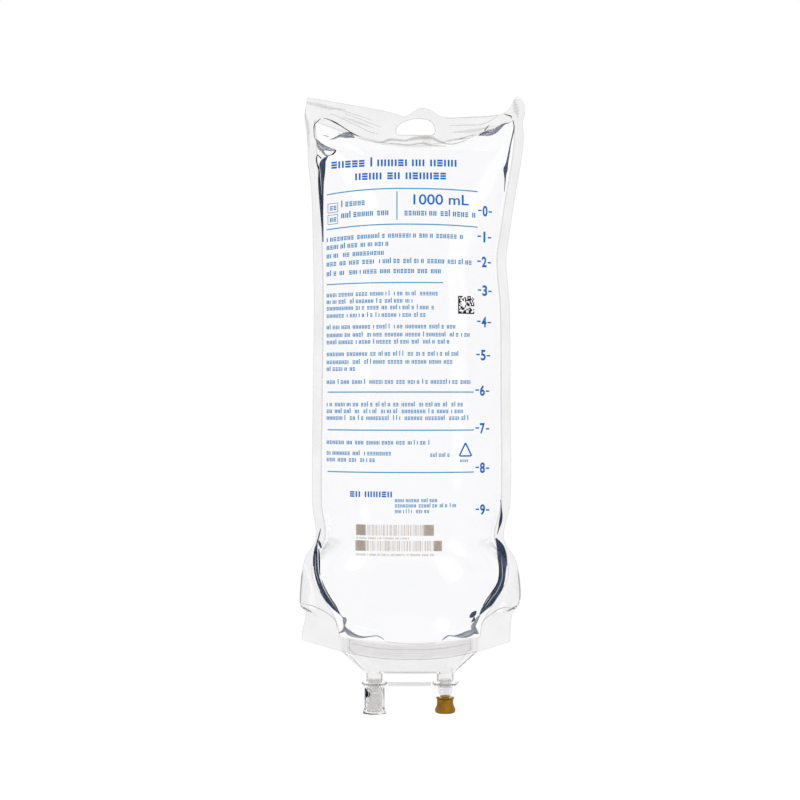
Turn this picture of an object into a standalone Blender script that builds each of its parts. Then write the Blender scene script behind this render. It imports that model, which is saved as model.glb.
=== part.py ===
"""A clear one-litre infusion bag, hanging full: two film sheets welded round a chamber of saline, with a moulded
port boat welded in at the bottom. The left port takes the giving set's spike under a pull-off protector. The right
port takes a needle through a rubber septum.

Metres, +Z up. The origin is the point of the hang slot that bears on the hook. The printed face looks along -Y.
"""

import math

import bpy
import bmesh

MM = 0.001

# Film sheets
FILM_WIDTH = 133 * MM
FILM_THICKNESS = 0.3 * MM
SEAT_GAP = 0.3 * MM
SEAM_WIDTH = 6 * MM
TOP_LEAN = 3.3 * MM
LEAN_SHARE = 0.25

# Chamber of the bag, between the top weld and the port boat
TOP_WELD_DROP = 2 * MM
TOP_WELD_SAG = 14.5 * MM
CHAMBER_HEIGHT = 303 * MM
CHAMBER_DEPTH = 29 * MM
TOP_RISE = 90 * MM
BOTTOM_TAPER = 56 * MM
CORNER_HEIGHT = 41 * MM
SECTION_POWER = 2.5
LIQUID_LEVEL = 19 * MM

# Hang tab and slot
STRIP_HEIGHT = 20 * MM
TAB_CENTRE = 4.5 * MM
TAB_WIDTH = 21 * MM
TAB_RISE = 5.3 * MM
SLOT_WIDTH = 22.5 * MM
SLOT_HEIGHT = 9.4 * MM
SLOT_CORNER = 2.2 * MM

# Curls and folds of the loose film outside the chamber
EAR_CURL = 7 * MM
EAR_TUCK = 2.5 * MM
LEFT_CORNER_CURL = 5 * MM
RIGHT_CORNER_CURL = 10 * MM
EAR_RISE = 8 * MM

# Port boat
BOAT_HALF_LENGTH = 40 * MM
BOAT_HALF_DEPTH = 11.5 * MM
BOAT_BAND = 9 * MM
BOAT_SAG = 3.9 * MM
BOAT_TIP_GAP = 1 * MM
WELD_RIBS = 3
WELD_RIB_HEIGHT = 0.4 * MM
FUNNEL_DROP = 9 * MM
FUNNEL_WALL = 1.25 * MM
FUNNEL_FLOOR = 1.3 * MM

# Port tubes, flanges and the bar between them
PORT_SPACING = 41.7 * MM
TUBE_RADIUS = 5.15 * MM
TUBE_WALL = 1.25 * MM
TUBE_DROP = 5 * MM
FLANGE_RADIUS = 7.8 * MM
FLANGE_RIM = 1.3 * MM
FLANGE_CONE = 1.9 * MM
BAR_HEIGHT = 2.9 * MM
BAR_DEPTH = 2.6 * MM
GUSSET_RADIUS = 3.6 * MM
GUSSET_THICKNESS = 1.2 * MM

# Clear tubes plugged into the two ports
SPIGOT_LENGTH = 4.6 * MM
SET_BARREL_RADIUS = 4.5 * MM
SET_BARREL_LENGTH = 14.2 * MM
SET_SOCKET_RADIUS = 3.15 * MM
SET_MEMBRANE = 0.8 * MM
SET_SOCKET_DEPTH = 10.5 * MM
INSERT_BORE = 2.5 * MM
MED_COLLAR_RADIUS = 4.4 * MM
MED_COLLAR_LENGTH = 3.2 * MM
MED_TUBE_RADIUS = 3.7 * MM
MED_TUBE_LENGTH = 12.6 * MM

# Pull-off protector of the set port
PROTECTOR_WALL = 1.1 * MM
PROTECTOR_FLOOR = 1.2 * MM
PROTECTOR_FOOT_RADIUS = 6.9 * MM
PROTECTOR_FOOT_HEIGHT = 4.6 * MM

# Rubber septum of the medication port
SEPTUM_WALL = 0.95 * MM
SEPTUM_LIP = 0.5 * MM
SEPTUM_SKIRT = 6.4 * MM
SEPTUM_BULGE_RADIUS = 6.05 * MM
SEPTUM_PLUG_RISE = 8.6 * MM
SEPTUM_NOSE = 2.2 * MM

# How finely the curved surfaces are divided
ROW_SPANS = ((0.0, 0.10, 4), (0.10, 0.78, 8), (0.78, 1.0, 10))
STRIP_ROWS = 4
BAND_ROWS = 2
SECTION_COLUMNS = 16
MARGIN_COLUMNS = 3
TURN_STEPS = 24

# How far the inflated chamber draws the film's edges in from the flat sheet's: share of the way down the chamber,
# then left edge and right edge. The waist lies above the loose bottom corners, which keep nearly the flat width.
EDGE_DRAW = (
    (-0.06, 2.5 * MM, 2.5 * MM),
    (-0.01, 0.8 * MM, 2.0 * MM),
    (0.03, 2.7 * MM, 2.5 * MM),
    (0.08, 4.0 * MM, 3.5 * MM),
    (0.14, 7.1 * MM, 5.5 * MM),
    (0.21, 8.9 * MM, 7.6 * MM),
    (0.27, 9.5 * MM, 9.6 * MM),
    (0.36, 9.9 * MM, 7.6 * MM),
    (0.53, 9.3 * MM, 7.2 * MM),
    (0.74, 8.9 * MM, 7.2 * MM),
    (0.81, 10.9 * MM, 11.0 * MM),
    (0.85, 4.5 * MM, 4.2 * MM),
    (0.88, 3.0 * MM, 2.5 * MM),
    (0.93, 2.1 * MM, 2.1 * MM),
    (0.96, 2.3 * MM, 6.2 * MM),
    (1.02, 2.8 * MM, 7.4 * MM),
)

# The cut top edge of the film, left to right: share of the half width, then height above the hang point
TOP_EDGE_LEFT = ((-1.2, 12.6 * MM), (-0.96, 12.2 * MM), (-0.65, 9.2 * MM), (-0.27, 4.7 * MM), (-0.12, 1.9 * MM))
TOP_EDGE_RIGHT = (
    (0.30, 0.8 * MM),
    (0.52, 1.4 * MM),
    (0.75, 2.7 * MM),
    (0.84, 6.6 * MM),
    (0.90, 13.4 * MM),
    (1.0, 8.4 * MM),
    (1.2, 6.0 * MM),
)

# Heights worked out from the sizes above
CORNER_TOP = -TOP_WELD_DROP
BOAT_TOP = CORNER_TOP - CHAMBER_HEIGHT
BOAT_BOTTOM = BOAT_TOP - BOAT_BAND
FUNNEL_BOTTOM = BOAT_BOTTOM - BOAT_SAG - FUNNEL_DROP
FLANGE_TOP = FUNNEL_BOTTOM - TUBE_DROP
FLANGE_BOTTOM = FLANGE_TOP - FLANGE_RIM - FLANGE_CONE
TUBE_BORE = TUBE_RADIUS - TUBE_WALL
SPIGOT_RADIUS = TUBE_BORE - SEAT_GAP
SPIGOT_TOP = FLANGE_BOTTOM + SPIGOT_LENGTH
INSERT_TOP = FLANGE_BOTTOM - SEAT_GAP
SET_MOUTH = INSERT_TOP - SET_BARREL_LENGTH
SET_MEMBRANE_TOP = SET_MOUTH + SET_SOCKET_DEPTH + SET_MEMBRANE
MED_END = INSERT_TOP - MED_TUBE_LENGTH
SEPTUM_PLUG_TOP = MED_END + SEPTUM_PLUG_RISE
PROTECTOR_INNER = SET_BARREL_RADIUS + SEAT_GAP
PROTECTOR_OUTER = PROTECTOR_INNER + PROTECTOR_WALL

CLEAR = (0.93, 0.93, 0.95, 0.35)
MILKY = (0.90, 0.90, 0.89, 0.75)
LIQUID = (0.90, 0.93, 0.97, 0.35)
AMBER = (0.53, 0.35, 0.03, 1.0)


# Helpers


def clear_scene():
    for obj in list(bpy.data.objects):
        bpy.data.objects.remove(obj)


def collection(name, hidden=False):
    made = bpy.data.collections.new(name)
    bpy.context.scene.collection.children.link(made)
    made.hide_render = hidden
    return made


def material(name, colour, roughness, transmission=0.0):
    made = bpy.data.materials.new(name)
    made.use_nodes = True
    shader = made.node_tree.nodes["Principled BSDF"]
    shader.inputs["Base Color"].default_value = (*colour[:3], 1.0)
    shader.inputs["Alpha"].default_value = colour[3]
    shader.inputs["Roughness"].default_value = roughness
    shader.inputs["Metallic"].default_value = 0.0
    shader.inputs["Transmission Weight"].default_value = transmission
    return made


def smooth_step(t):
    t = min(max(t, 0.0), 1.0)
    return t * t * (3 - 2 * t)


def smooth_through(stations, at, column=1):
    """The value at a position of a smooth curve through the stations, each (position, values...)."""
    if at <= stations[0][0]:
        return stations[0][column]
    if at >= stations[-1][0]:
        return stations[-1][column]
    last = len(stations) - 1
    i = max(k for k in range(last) if stations[k][0] <= at)

    def slope(k):
        before, after = stations[max(k - 1, 0)], stations[min(k + 1, last)]
        return (after[column] - before[column]) / (after[0] - before[0])

    span = stations[i + 1][0] - stations[i][0]
    t = (at - stations[i][0]) / span
    low, high = stations[i][column], stations[i + 1][column]
    return (
        (2 * t**3 - 3 * t**2 + 1) * low
        + (t**3 - 2 * t**2 + t) * span * slope(i)
        + (3 * t**2 - 2 * t**3) * high
        + (t**3 - t**2) * span * slope(i + 1)
    )


def mesh_object(name, points, faces, home, finish=None):
    mesh = bpy.data.meshes.new(name)
    mesh.from_pydata(points, [], faces)
    mesh.validate()
    obj = bpy.data.objects.new(name, mesh)
    home.objects.link(obj)
    if finish:
        mesh.materials.append(finish)
    return obj


def face_outwards(obj):
    """Turns every face of a closed mesh outwards."""
    shape = bmesh.new()
    shape.from_mesh(obj.data)
    bmesh.ops.recalc_face_normals(shape, faces=shape.faces)
    shape.to_mesh(obj.data)
    shape.free()


def shade(obj, degrees=40):
    obj.data.shade_smooth()
    obj.data.set_sharp_from_angle(angle=math.radians(degrees))


def as_helper(obj):
    obj.hide_render = True
    obj.display_type = "WIRE"
    return obj


def boolean(obj, other, operation):
    modifier = obj.modifiers.new(f"{operation.lower()}_{other.name}", "BOOLEAN")
    modifier.operation = operation
    modifier.object = other
    modifier.solver = "EXACT"


def turned(name, profile, x, home, finish=None):
    """A solid of revolution about the vertical axis at x. The profile runs down its outer side, top to bottom; one
    that starts and ends off the axis closes on itself."""
    points = [(radius, 0.0, height) for radius, height in profile]
    edges = [(i, i + 1) for i in range(len(points) - 1)]
    if profile[0][0] > 0:
        edges.append((len(points) - 1, 0))
    mesh = bpy.data.meshes.new(name)
    mesh.from_pydata(points, edges, [])
    obj = bpy.data.objects.new(name, mesh)
    obj.location.x = x
    home.objects.link(obj)
    if finish:
        mesh.materials.append(finish)
    screw = obj.modifiers.new("turn", "SCREW")
    screw.angle = 2 * math.pi
    screw.steps = TURN_STEPS
    screw.render_steps = TURN_STEPS
    screw.use_merge_vertices = True
    screw.merge_threshold = 0.00001
    screw.use_smooth_shade = True
    return obj


def plate(name, outline, thickness, home):
    """A flat outline in the XZ plane, given depth either side of it, as a mesh."""
    curve = bpy.data.curves.new(name, "CURVE")
    curve.dimensions = "2D"
    curve.fill_mode = "BOTH"
    curve.extrude = thickness / 2
    spline = curve.splines.new("POLY")
    spline.points.add(len(outline) - 1)
    for point, (x, z) in zip(spline.points, outline):
        point.co = (x, z, 0.0, 1.0)
    spline.use_cyclic_u = True
    guide = bpy.data.objects.new(name + "_outline", curve)
    guide.rotation_euler.x = math.radians(90)
    home.objects.link(guide)
    bpy.context.view_layer.update()
    evaluated = guide.evaluated_get(bpy.context.evaluated_depsgraph_get())
    mesh = bpy.data.meshes.new_from_object(evaluated)
    mesh.transform(guide.matrix_world)
    bpy.data.objects.remove(guide)
    shape = bmesh.new()
    shape.from_mesh(mesh)
    bmesh.ops.remove_doubles(shape, verts=shape.verts, dist=0.00001)
    bmesh.ops.recalc_face_normals(shape, faces=shape.faces)
    shape.to_mesh(mesh)
    shape.free()
    obj = bpy.data.objects.new(name, mesh)
    home.objects.link(obj)
    return obj


def arc(x, z, radius, start, end, steps):
    """Points of a circular arc in the XZ plane, angles in degrees."""
    angles = [math.radians(start + (end - start) * i / steps) for i in range(steps + 1)]
    return [(x + radius * math.cos(a), z + radius * math.sin(a)) for a in angles]


def loft(name, rings, home, finish=None):
    """A closed solid through rings of the same number of points. Each end is closed from the front side to the back."""
    count = len(rings[0])
    points = [point for ring in rings for point in ring]
    faces = []
    for r in range(len(rings) - 1):
        for i in range(count):
            a, b = r * count + i, r * count + (i + 1) % count
            faces += [(a, b, b + count), (a, b + count, a + count)]
    for first in (0, (len(rings) - 1) * count):
        for i in range(count // 2):
            corners = (i, i + 1, (count - i - 1) % count, (count - i) % count)
            faces.append(tuple(first + c for c in dict.fromkeys(corners)))
    obj = mesh_object(name, points, faces, home, finish)
    face_outwards(obj)
    return obj


# Shape of the hanging bag


def share_down(height):
    """How far down the chamber a height lies: 0 at its top corners, 1 at the boat."""
    return (CORNER_TOP - height) / CHAMBER_HEIGHT


def centre_line(down):
    """The bag hangs with its middle a little left of its slot."""
    return -TOP_LEAN * smooth_step(down / LEAN_SHARE)


def film_edge(side, down):
    """Distance of the film's outer edge from the hang point, to the left (-1) or right (1)."""
    draw = smooth_through(EDGE_DRAW, down, 1 if side < 0 else 2)
    return centre_line(down) + side * (FILM_WIDTH / 2 - draw)


def chamber_edge(side, down):
    """Distance of the chamber's weld line. It follows the film's edge, then curves in to the boat's tips."""
    start = 1 - CORNER_HEIGHT / CHAMBER_HEIGHT
    wide = film_edge(side, min(down, 0.9)) - side * SEAM_WIDTH
    narrow = centre_line(down) + side * (BOAT_HALF_LENGTH + BOAT_TIP_GAP)
    turn = min(max((down - start) / (1 - start), 0.0), 1.0)
    return narrow + (wide - narrow) * (1 + math.cos(math.pi * turn)) / 2


def chamber_depth(down):
    """Half the chamber's thickness on its centre line. It swells below the top weld, most near the bottom, where the
    head of liquid is greatest, and narrows onto the boat."""
    below_weld = down * CHAMBER_HEIGHT - TOP_WELD_SAG
    rise = math.sin(math.pi / 2 * min(max(below_weld / TOP_RISE, 0.0), 1.0)) ** 0.6
    swell = 0.9 + 0.1 * smooth_step(down)
    above_boat = (1 - down) * CHAMBER_HEIGHT
    taper = smooth_step(above_boat / BOTTOM_TAPER)
    at_boat = BOAT_HALF_DEPTH + SEAT_GAP
    return at_boat + (CHAMBER_DEPTH * rise * swell - at_boat) * taper


def swollen(share, down, sag_down):
    """Half the gap between the sheets, at a share of the chamber's half width. Rows near the top weld sag with it."""
    depth = chamber_depth(down + sag_down)
    return depth * max(1 - abs(share) ** SECTION_POWER, 0.0)


def top_sag(share):
    """How far the top weld hangs below its corners."""
    return TOP_WELD_SAG * max(1 - abs(share) ** 1.6, 0.0)


def boat_sag(share):
    """How far the boat's band curves down below its tips."""
    return BOAT_SAG * max(1 - share * share, 0.0)


def curl(x, height, margin):
    """How far the sheets' shared middle surface stands forward (-Y) of the bag's middle plane."""
    down = share_down(height)
    outer = margin * margin
    ear = smooth_step((down - 0.83) / 0.1) * (1 - smooth_step((down - 0.945) / 0.02))
    tuck = smooth_step((down - 0.945) / 0.02) * (1 - 0.6 * smooth_step((down - 0.97) / 0.05))
    corner = LEFT_CORNER_CURL if x < 0 else RIGHT_CORNER_CURL
    reach = min(abs(x) / (FILM_WIDTH / 2), 1.0) ** 6
    top = corner * reach * smooth_step((height + 6 * MM) / (18 * MM))
    return -(EAR_CURL * ear - EAR_TUCK * tuck) * outer - top


def chamber_rows():
    """Shares of the way down the chamber, closer together where the film bends most."""
    rows = [0.0]
    for start, end, count in ROW_SPANS:
        rows += [start + (end - start) * (i + 1) / count for i in range(count)]
    return rows


def section_shares():
    """Shares across the chamber, closer together near its welds."""
    return [-math.cos(math.pi * i / SECTION_COLUMNS) for i in range(SECTION_COLUMNS + 1)]


def chamber_height(share, down):
    """Height of a row of the chamber at a share across it."""
    return (
        CORNER_TOP
        - down * CHAMBER_HEIGHT
        - top_sag(share) * (1 - smooth_step(down / 0.3))
        - boat_sag(share) * smooth_step((down - 0.8) / 0.2)
    )


def chamber_x(share, down):
    left, right = chamber_edge(-1, down), chamber_edge(1, down)
    middle = (left + right) / 2
    return middle + share * (right - left) / 2


def film_row(down):
    """Middle-surface points (x, height, half gap) of one row across the chamber and both margins."""
    sag = TOP_WELD_SAG / CHAMBER_HEIGHT * (1 - smooth_step(down / 0.3))
    inside = [
        (chamber_x(s, down), chamber_height(s, down), swollen(s, down, sag), 0.0) for s in section_shares()
    ]
    return with_margins(inside, down, 0.0)


def with_margins(inside, down, rise):
    """Adds the welded margins to a row. At the outer edge the row lies higher by the rise."""
    row = list(inside)
    for side in (-1, 1):
        x, height = (inside[0] if side < 0 else inside[-1])[:2]
        edge = film_edge(side, down)
        for i in range(1, MARGIN_COLUMNS + 1):
            m = i / MARGIN_COLUMNS
            point = (x + (edge - x) * m, height + rise * m, 0.0, m)
            row = [point] + row if side < 0 else row + [point]
    return row


def strip_row(share_up):
    """One row of the flat hang strip, between the top weld and above the cut top edge."""
    weld = film_row(0.0)
    half = FILM_WIDTH / 2
    down = -share_up * STRIP_HEIGHT / CHAMBER_HEIGHT
    left, right = film_edge(-1, down), film_edge(1, down)
    x_left, x_right = weld[0][0], weld[-1][0]
    row = []
    for x, height, gap, margin in weld:
        across = (x - x_left) / (x_right - x_left)
        row.append((
            x + (left + (right - left) * across - x) * share_up,
            height + (STRIP_HEIGHT - height) * share_up,
            0.0,
            margin,
        ))
    return row


def band_row(share_below):
    """One row of the film over the boat's band, down to the film's cut lower edge."""
    drop = share_below * BOAT_BAND
    half_gap = BOAT_HALF_DEPTH + SEAT_GAP
    inside = [
        (chamber_x(s, 1.0), BOAT_TOP - boat_sag(s) - drop, half_gap * max(1 - abs(s) ** SECTION_POWER, 0.0), 0.0)
        for s in section_shares()
    ]
    return with_margins(inside, 1.0 + drop / CHAMBER_HEIGHT, EAR_RISE * share_below)


def film_rows():
    rows = [strip_row(1 - i / STRIP_ROWS) for i in range(STRIP_ROWS)]
    rows += [film_row(down) for down in chamber_rows()]
    rows += [band_row((i + 1) / BAND_ROWS) for i in range(BAND_ROWS)]
    return rows


def film(name, side, home, finish, cutters):
    """One sheet of film. Side is -1 for the front sheet and 1 for the back. Its inner face lies on the chamber."""
    rows = film_rows()
    points = []
    for row in rows:
        for x, height, half_gap, margin in row:
            points.append((x, curl(x, height, margin) + side * (half_gap + SEAT_GAP / 2), height))
    width = len(rows[0])
    faces = []
    for r in range(len(rows) - 1):
        for c in range(width - 1):
            a, b = r * width + c, r * width + c + 1
            d, e = a + width, b + width
            halves = ((a, b, e), (a, e, d)) if c < width // 2 else ((a, b, d), (b, e, d))
            faces += [half[::-1] if side < 0 else half for half in halves]
    obj = mesh_object(name, points, faces, home, finish)
    thicken = obj.modifiers.new("film_thickness", "SOLIDIFY")
    thicken.thickness = FILM_THICKNESS
    thicken.offset = 1.0
    thicken.use_even_offset = True
    for cutter in cutters:
        boolean(obj, cutter, "DIFFERENCE")
    shade(obj, 50)
    return obj


def top_edge_cutter(home):
    """What is trimmed off above the film's top edge, with the arch of the hang tab left standing."""
    half = FILM_WIDTH / 2
    left = [(half * share, height) for share, height in TOP_EDGE_LEFT]
    right = [(half * share, height) for share, height in TOP_EDGE_RIGHT]
    base = (left[-1][1] + right[0][1]) / 2
    tab = [
        (TAB_CENTRE + TAB_WIDTH * t / 2, base + TAB_RISE * math.cos(math.pi * t / 2) ** 1.3)
        for t in [-1 + i / 6 for i in range(13)]
    ]
    above = STRIP_HEIGHT + 5 * MM
    outline = left + tab + right + [(right[-1][0], above), (left[0][0], above)]
    return as_helper(plate("top_edge_cutter", outline, 4 * CHAMBER_DEPTH, home))


def slot_cutter(home):
    """The hang slot: flat along its foot, arched over the hook, with the arch's crown at the origin."""
    half, foot = SLOT_WIDTH / 2, -SLOT_HEIGHT
    corners = arc(-half + SLOT_CORNER, foot + SLOT_CORNER, SLOT_CORNER, 180, 270, 3)
    corners += arc(half - SLOT_CORNER, foot + SLOT_CORNER, SLOT_CORNER, -90, 0, 3)
    spring = foot + SLOT_CORNER
    arch = [
        (half * math.cos(math.pi * i / 12), spring - spring * math.sin(math.pi * i / 12) ** 0.8) for i in range(1, 12)
    ]
    return as_helper(plate("slot_cutter", corners + arch, 4 * CHAMBER_DEPTH, home))


# Saline in the chamber, the boat and the port tubes


def closed_ring(half_length, half_depth, height, power, sag=0.0, middle=0.0):
    """A lens-shaped ring: front side left to right, then back side right to left."""
    shares = section_shares()
    front = [
        (middle + s * half_length, -half_depth * max(1 - abs(s) ** power, 0.0), height - sag * (1 - s * s))
        for s in shares
    ]
    back = [(x, -y, z) for x, y, z in reversed(front[1:-1])]
    return front + back


def stadium_ring(half_length, radius, height, middle=0.0):
    """A ring with straight sides and round ends, with points at the same shares as a lens-shaped one."""
    front = []
    for s in section_shares():
        x = s * half_length
        past = max(abs(x) - (half_length - radius), 0.0)
        front.append((middle + x, -math.sqrt(max(radius * radius - past * past, 0.0)), height))
    back = [(x, -y, z) for x, y, z in reversed(front[1:-1])]
    return front + back


def liquid_ring(down):
    """A ring of the liquid's surface, just inside the sheets."""
    sag = TOP_WELD_SAG / CHAMBER_HEIGHT * (1 - smooth_step(down / 0.3))
    left, right = chamber_edge(-1, down), chamber_edge(1, down)
    middle, half = (left + right) / 2, (right - left) / 2 - 2.5 * SEAT_GAP
    front = []
    for s in section_shares():
        half_gap = max(swollen(s, down, sag) - 1.2 * SEAT_GAP, 0.0) if abs(s) < 0.999 else 0.0
        front.append((middle + s * half, -half_gap, chamber_height(s, down)))
    back = [(x, -y, z) for x, y, z in reversed(front[1:-1])]
    return front + back


def port_x(side):
    return centre_line(1.0) + side * PORT_SPACING / 2


def funnel_half_length():
    return PORT_SPACING / 2 + TUBE_RADIUS


def solution(home, helpers, finish):
    """The liquid: a pillow under the film, narrowing through the boat, with a column standing in each port."""
    middle = centre_line(1.0)
    inset = FUNNEL_WALL + SEAT_GAP
    rings = [liquid_ring(down) for down in chamber_rows()[2:-1]]
    for height in (BOAT_TOP - SEAT_GAP, BOAT_BOTTOM + BOAT_BAND / 4):
        rings.append(
            closed_ring(BOAT_HALF_LENGTH - 2.4 * inset, BOAT_HALF_DEPTH - inset, height, SECTION_POWER, BOAT_SAG, middle)
        )
    rings.append(
        stadium_ring(funnel_half_length() - inset, TUBE_BORE - SEAT_GAP, FUNNEL_BOTTOM + FUNNEL_FLOOR + SEAT_GAP, middle)
    )
    obj = loft("saline_solution", rings, home, finish)
    for name, side, foot in (("set_column", -1, SET_MEMBRANE_TOP), ("med_column", 1, SEPTUM_PLUG_TOP)):
        wide, narrow = TUBE_BORE - SEAT_GAP, INSERT_BORE - SEAT_GAP
        head = FUNNEL_BOTTOM + FUNNEL_FLOOR + 2 * MM
        step = SPIGOT_TOP + SEAT_GAP
        profile = [(0.0, head), (wide, head), (wide, step), (narrow, step), (narrow, foot + SEAT_GAP)]
        profile.append((0.0, foot + SEAT_GAP))
        column = as_helper(turned(name, profile, port_x(side), helpers))
        boolean(obj, column, "UNION")
    depth = 4 * CHAMBER_DEPTH
    above = [(-FILM_WIDTH, -LIQUID_LEVEL), (FILM_WIDTH, -LIQUID_LEVEL)]
    above += [(FILM_WIDTH, STRIP_HEIGHT), (-FILM_WIDTH, STRIP_HEIGHT)]
    boolean(obj, as_helper(plate("air_space", above, depth, helpers)), "DIFFERENCE")
    shade(obj, 50)
    return obj


# Port moulding


def weld_band_rings(middle):
    """The boat's outer wall, with its horizontal weld ribs."""
    steps = 2 * WELD_RIBS
    rings = []
    for i in range(steps + 1):
        low = i % 2 == 0
        inset = WELD_RIB_HEIGHT if low else 0.0
        height = BOAT_TOP - SEAT_GAP - (BOAT_BAND - SEAT_GAP) * i / steps
        rings.append(
            closed_ring(BOAT_HALF_LENGTH, BOAT_HALF_DEPTH - inset, height, SECTION_POWER, BOAT_SAG, middle)
        )
    return rings


def gusset(name, side, inner, home):
    """A quarter-round rib under the bar, beside the piece fitted in a port, which it stands clear of."""
    centre = MED_COLLAR_RADIUS + 1.5 * SEAT_GAP
    reach = math.degrees(math.acos((inner - centre) / GUSSET_RADIUS))
    outline = [(inner, FLANGE_BOTTOM + BAR_HEIGHT / 2)]
    outline += arc(centre, FLANGE_BOTTOM, GUSSET_RADIUS, -reach, 0, 6)
    outline.append((centre + GUSSET_RADIUS, FLANGE_BOTTOM + BAR_HEIGHT / 2))
    facing = [(port_x(side) - side * x, z) for x, z in outline]
    return plate(name, facing, GUSSET_THICKNESS, home)


def port_moulding(home, helpers, finish):
    """One moulding: weld band, hollow funnel, two port tubes with flanges, the bar and its gussets."""
    middle = centre_line(1.0)
    rings = weld_band_rings(middle)
    rings.append(stadium_ring(funnel_half_length(), TUBE_RADIUS, FUNNEL_BOTTOM, middle))
    obj = loft("port_moulding", rings, home, finish)
    overlap = 1.5 * MM
    for name, side in (("set_side", -1), ("med_side", 1)):
        x = port_x(side)
        root = FLANGE_TOP - FLANGE_RIM - FLANGE_CONE
        neck = TUBE_RADIUS + 0.35 * MM
        profile = [
            (0.0, FUNNEL_BOTTOM + overlap),
            (TUBE_RADIUS, FUNNEL_BOTTOM + overlap),
            (TUBE_RADIUS, FLANGE_TOP + 0.5 * MM),
            (TUBE_RADIUS + 0.5 * MM, FLANGE_TOP),
            (FLANGE_RADIUS - 0.4 * MM, FLANGE_TOP),
            (FLANGE_RADIUS, FLANGE_TOP - 0.4 * MM),
            (FLANGE_RADIUS, FLANGE_TOP - FLANGE_RIM),
            (neck, root),
            (0.0, root),
        ]
        boolean(obj, as_helper(turned(name + "_tube", profile, x, helpers)), "UNION")
    reach = PORT_SPACING / 2 - TUBE_RADIUS + 0.6 * MM
    bar_foot = FLANGE_TOP - BAR_HEIGHT
    bar = [(middle - reach, FLANGE_TOP - 0.2 * MM), (middle - reach, bar_foot)]
    bar += [(middle + reach, bar_foot), (middle + reach, FLANGE_TOP - 0.2 * MM)]
    boolean(obj, as_helper(plate("bar", bar, BAR_DEPTH, helpers)), "UNION")
    for name, side, fitted in (("set_gusset", -1, PROTECTOR_OUTER), ("med_gusset", 1, MED_COLLAR_RADIUS)):
        boolean(obj, as_helper(gusset(name, side, fitted + 1.5 * SEAT_GAP, helpers)), "UNION")
    hollow = [
        closed_ring(BOAT_HALF_LENGTH - 2.4 * FUNNEL_WALL, BOAT_HALF_DEPTH - FUNNEL_WALL, height, SECTION_POWER, BOAT_SAG, middle)
        for height in (BOAT_TOP + overlap, BOAT_BOTTOM)
    ]
    hollow.append(
        stadium_ring(funnel_half_length() - FUNNEL_WALL, TUBE_BORE, FUNNEL_BOTTOM + FUNNEL_FLOOR, middle)
    )
    boolean(obj, as_helper(loft("funnel_hollow", hollow, helpers)), "DIFFERENCE")
    for name, side in (("set_bore", -1), ("med_bore", 1)):
        top, foot = FUNNEL_BOTTOM + FUNNEL_FLOOR + overlap, FLANGE_BOTTOM - overlap
        bore = [(0.0, top), (TUBE_BORE, top), (TUBE_BORE, foot), (0.0, foot)]
        boolean(obj, as_helper(turned(name, bore, port_x(side), helpers)), "DIFFERENCE")
    shade(obj)
    return obj


# Pieces plugged into the ports


def set_port_tube(home, finish):
    """Clear spike tube: a spigot in the port's bore, a membrane to pierce and a socket open downwards."""
    membrane_foot = SET_MEMBRANE_TOP - SET_MEMBRANE
    profile = [
        (INSERT_BORE, SPIGOT_TOP),
        (SPIGOT_RADIUS, SPIGOT_TOP),
        (SPIGOT_RADIUS, INSERT_TOP),
        (SET_BARREL_RADIUS, INSERT_TOP),
        (SET_BARREL_RADIUS, SET_MOUTH + 0.4 * MM),
        (SET_BARREL_RADIUS - 0.4 * MM, SET_MOUTH),
        (SET_SOCKET_RADIUS, SET_MOUTH),
        (SET_SOCKET_RADIUS, membrane_foot),
        (0.0, membrane_foot),
    ]
    upper = [(0.0, SET_MEMBRANE_TOP), (INSERT_BORE, SET_MEMBRANE_TOP)]
    return turned("set_port_tube", upper + profile, port_x(-1), home, finish)


def set_port_protector(home, finish):
    """Clear cap over the spike tube, closed at its flared foot, which the fingers pull."""
    inner, outer = PROTECTOR_INNER, PROTECTOR_OUTER
    top = INSERT_TOP - SEAT_GAP
    floor_top = SET_MOUTH - SEAT_GAP
    foot = floor_top - PROTECTOR_FLOOR
    flare = foot + PROTECTOR_FOOT_HEIGHT
    profile = [
        (0.0, floor_top),
        (inner, floor_top),
        (inner, top),
        (outer - 0.2 * MM, top),
        (outer, top - 0.3 * MM),
        (outer, flare + 1.2 * MM),
        (outer + 0.15 * MM, flare),
        (outer + 0.5 * MM, foot + 0.62 * PROTECTOR_FOOT_HEIGHT),
        (PROTECTOR_FOOT_RADIUS, foot + 1.1 * MM),
        (PROTECTOR_FOOT_RADIUS - 0.1 * MM, foot + 0.5 * MM),
        (PROTECTOR_FOOT_RADIUS - 0.7 * MM, foot),
        (0.0, foot),
    ]
    return turned("set_port_protector", profile, port_x(-1), home, finish)


def med_port_tube(home, finish):
    """Clear tube of the medication port: a spigot in the bore, a collar under the flange and a plain end."""
    collar_foot = INSERT_TOP - MED_COLLAR_LENGTH
    profile = [
        (INSERT_BORE, SPIGOT_TOP),
        (SPIGOT_RADIUS, SPIGOT_TOP),
        (SPIGOT_RADIUS, INSERT_TOP),
        (MED_COLLAR_RADIUS, INSERT_TOP),
        (MED_COLLAR_RADIUS + 0.15 * MM, INSERT_TOP - 0.45 * MED_COLLAR_LENGTH),
        (MED_COLLAR_RADIUS - 0.2 * MM, INSERT_TOP - 0.7 * MED_COLLAR_LENGTH),
        (MED_TUBE_RADIUS, collar_foot),
        (MED_TUBE_RADIUS, MED_END),
        (INSERT_BORE, MED_END),
    ]
    return turned("med_port_tube", profile, port_x(1), home, finish)


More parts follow.
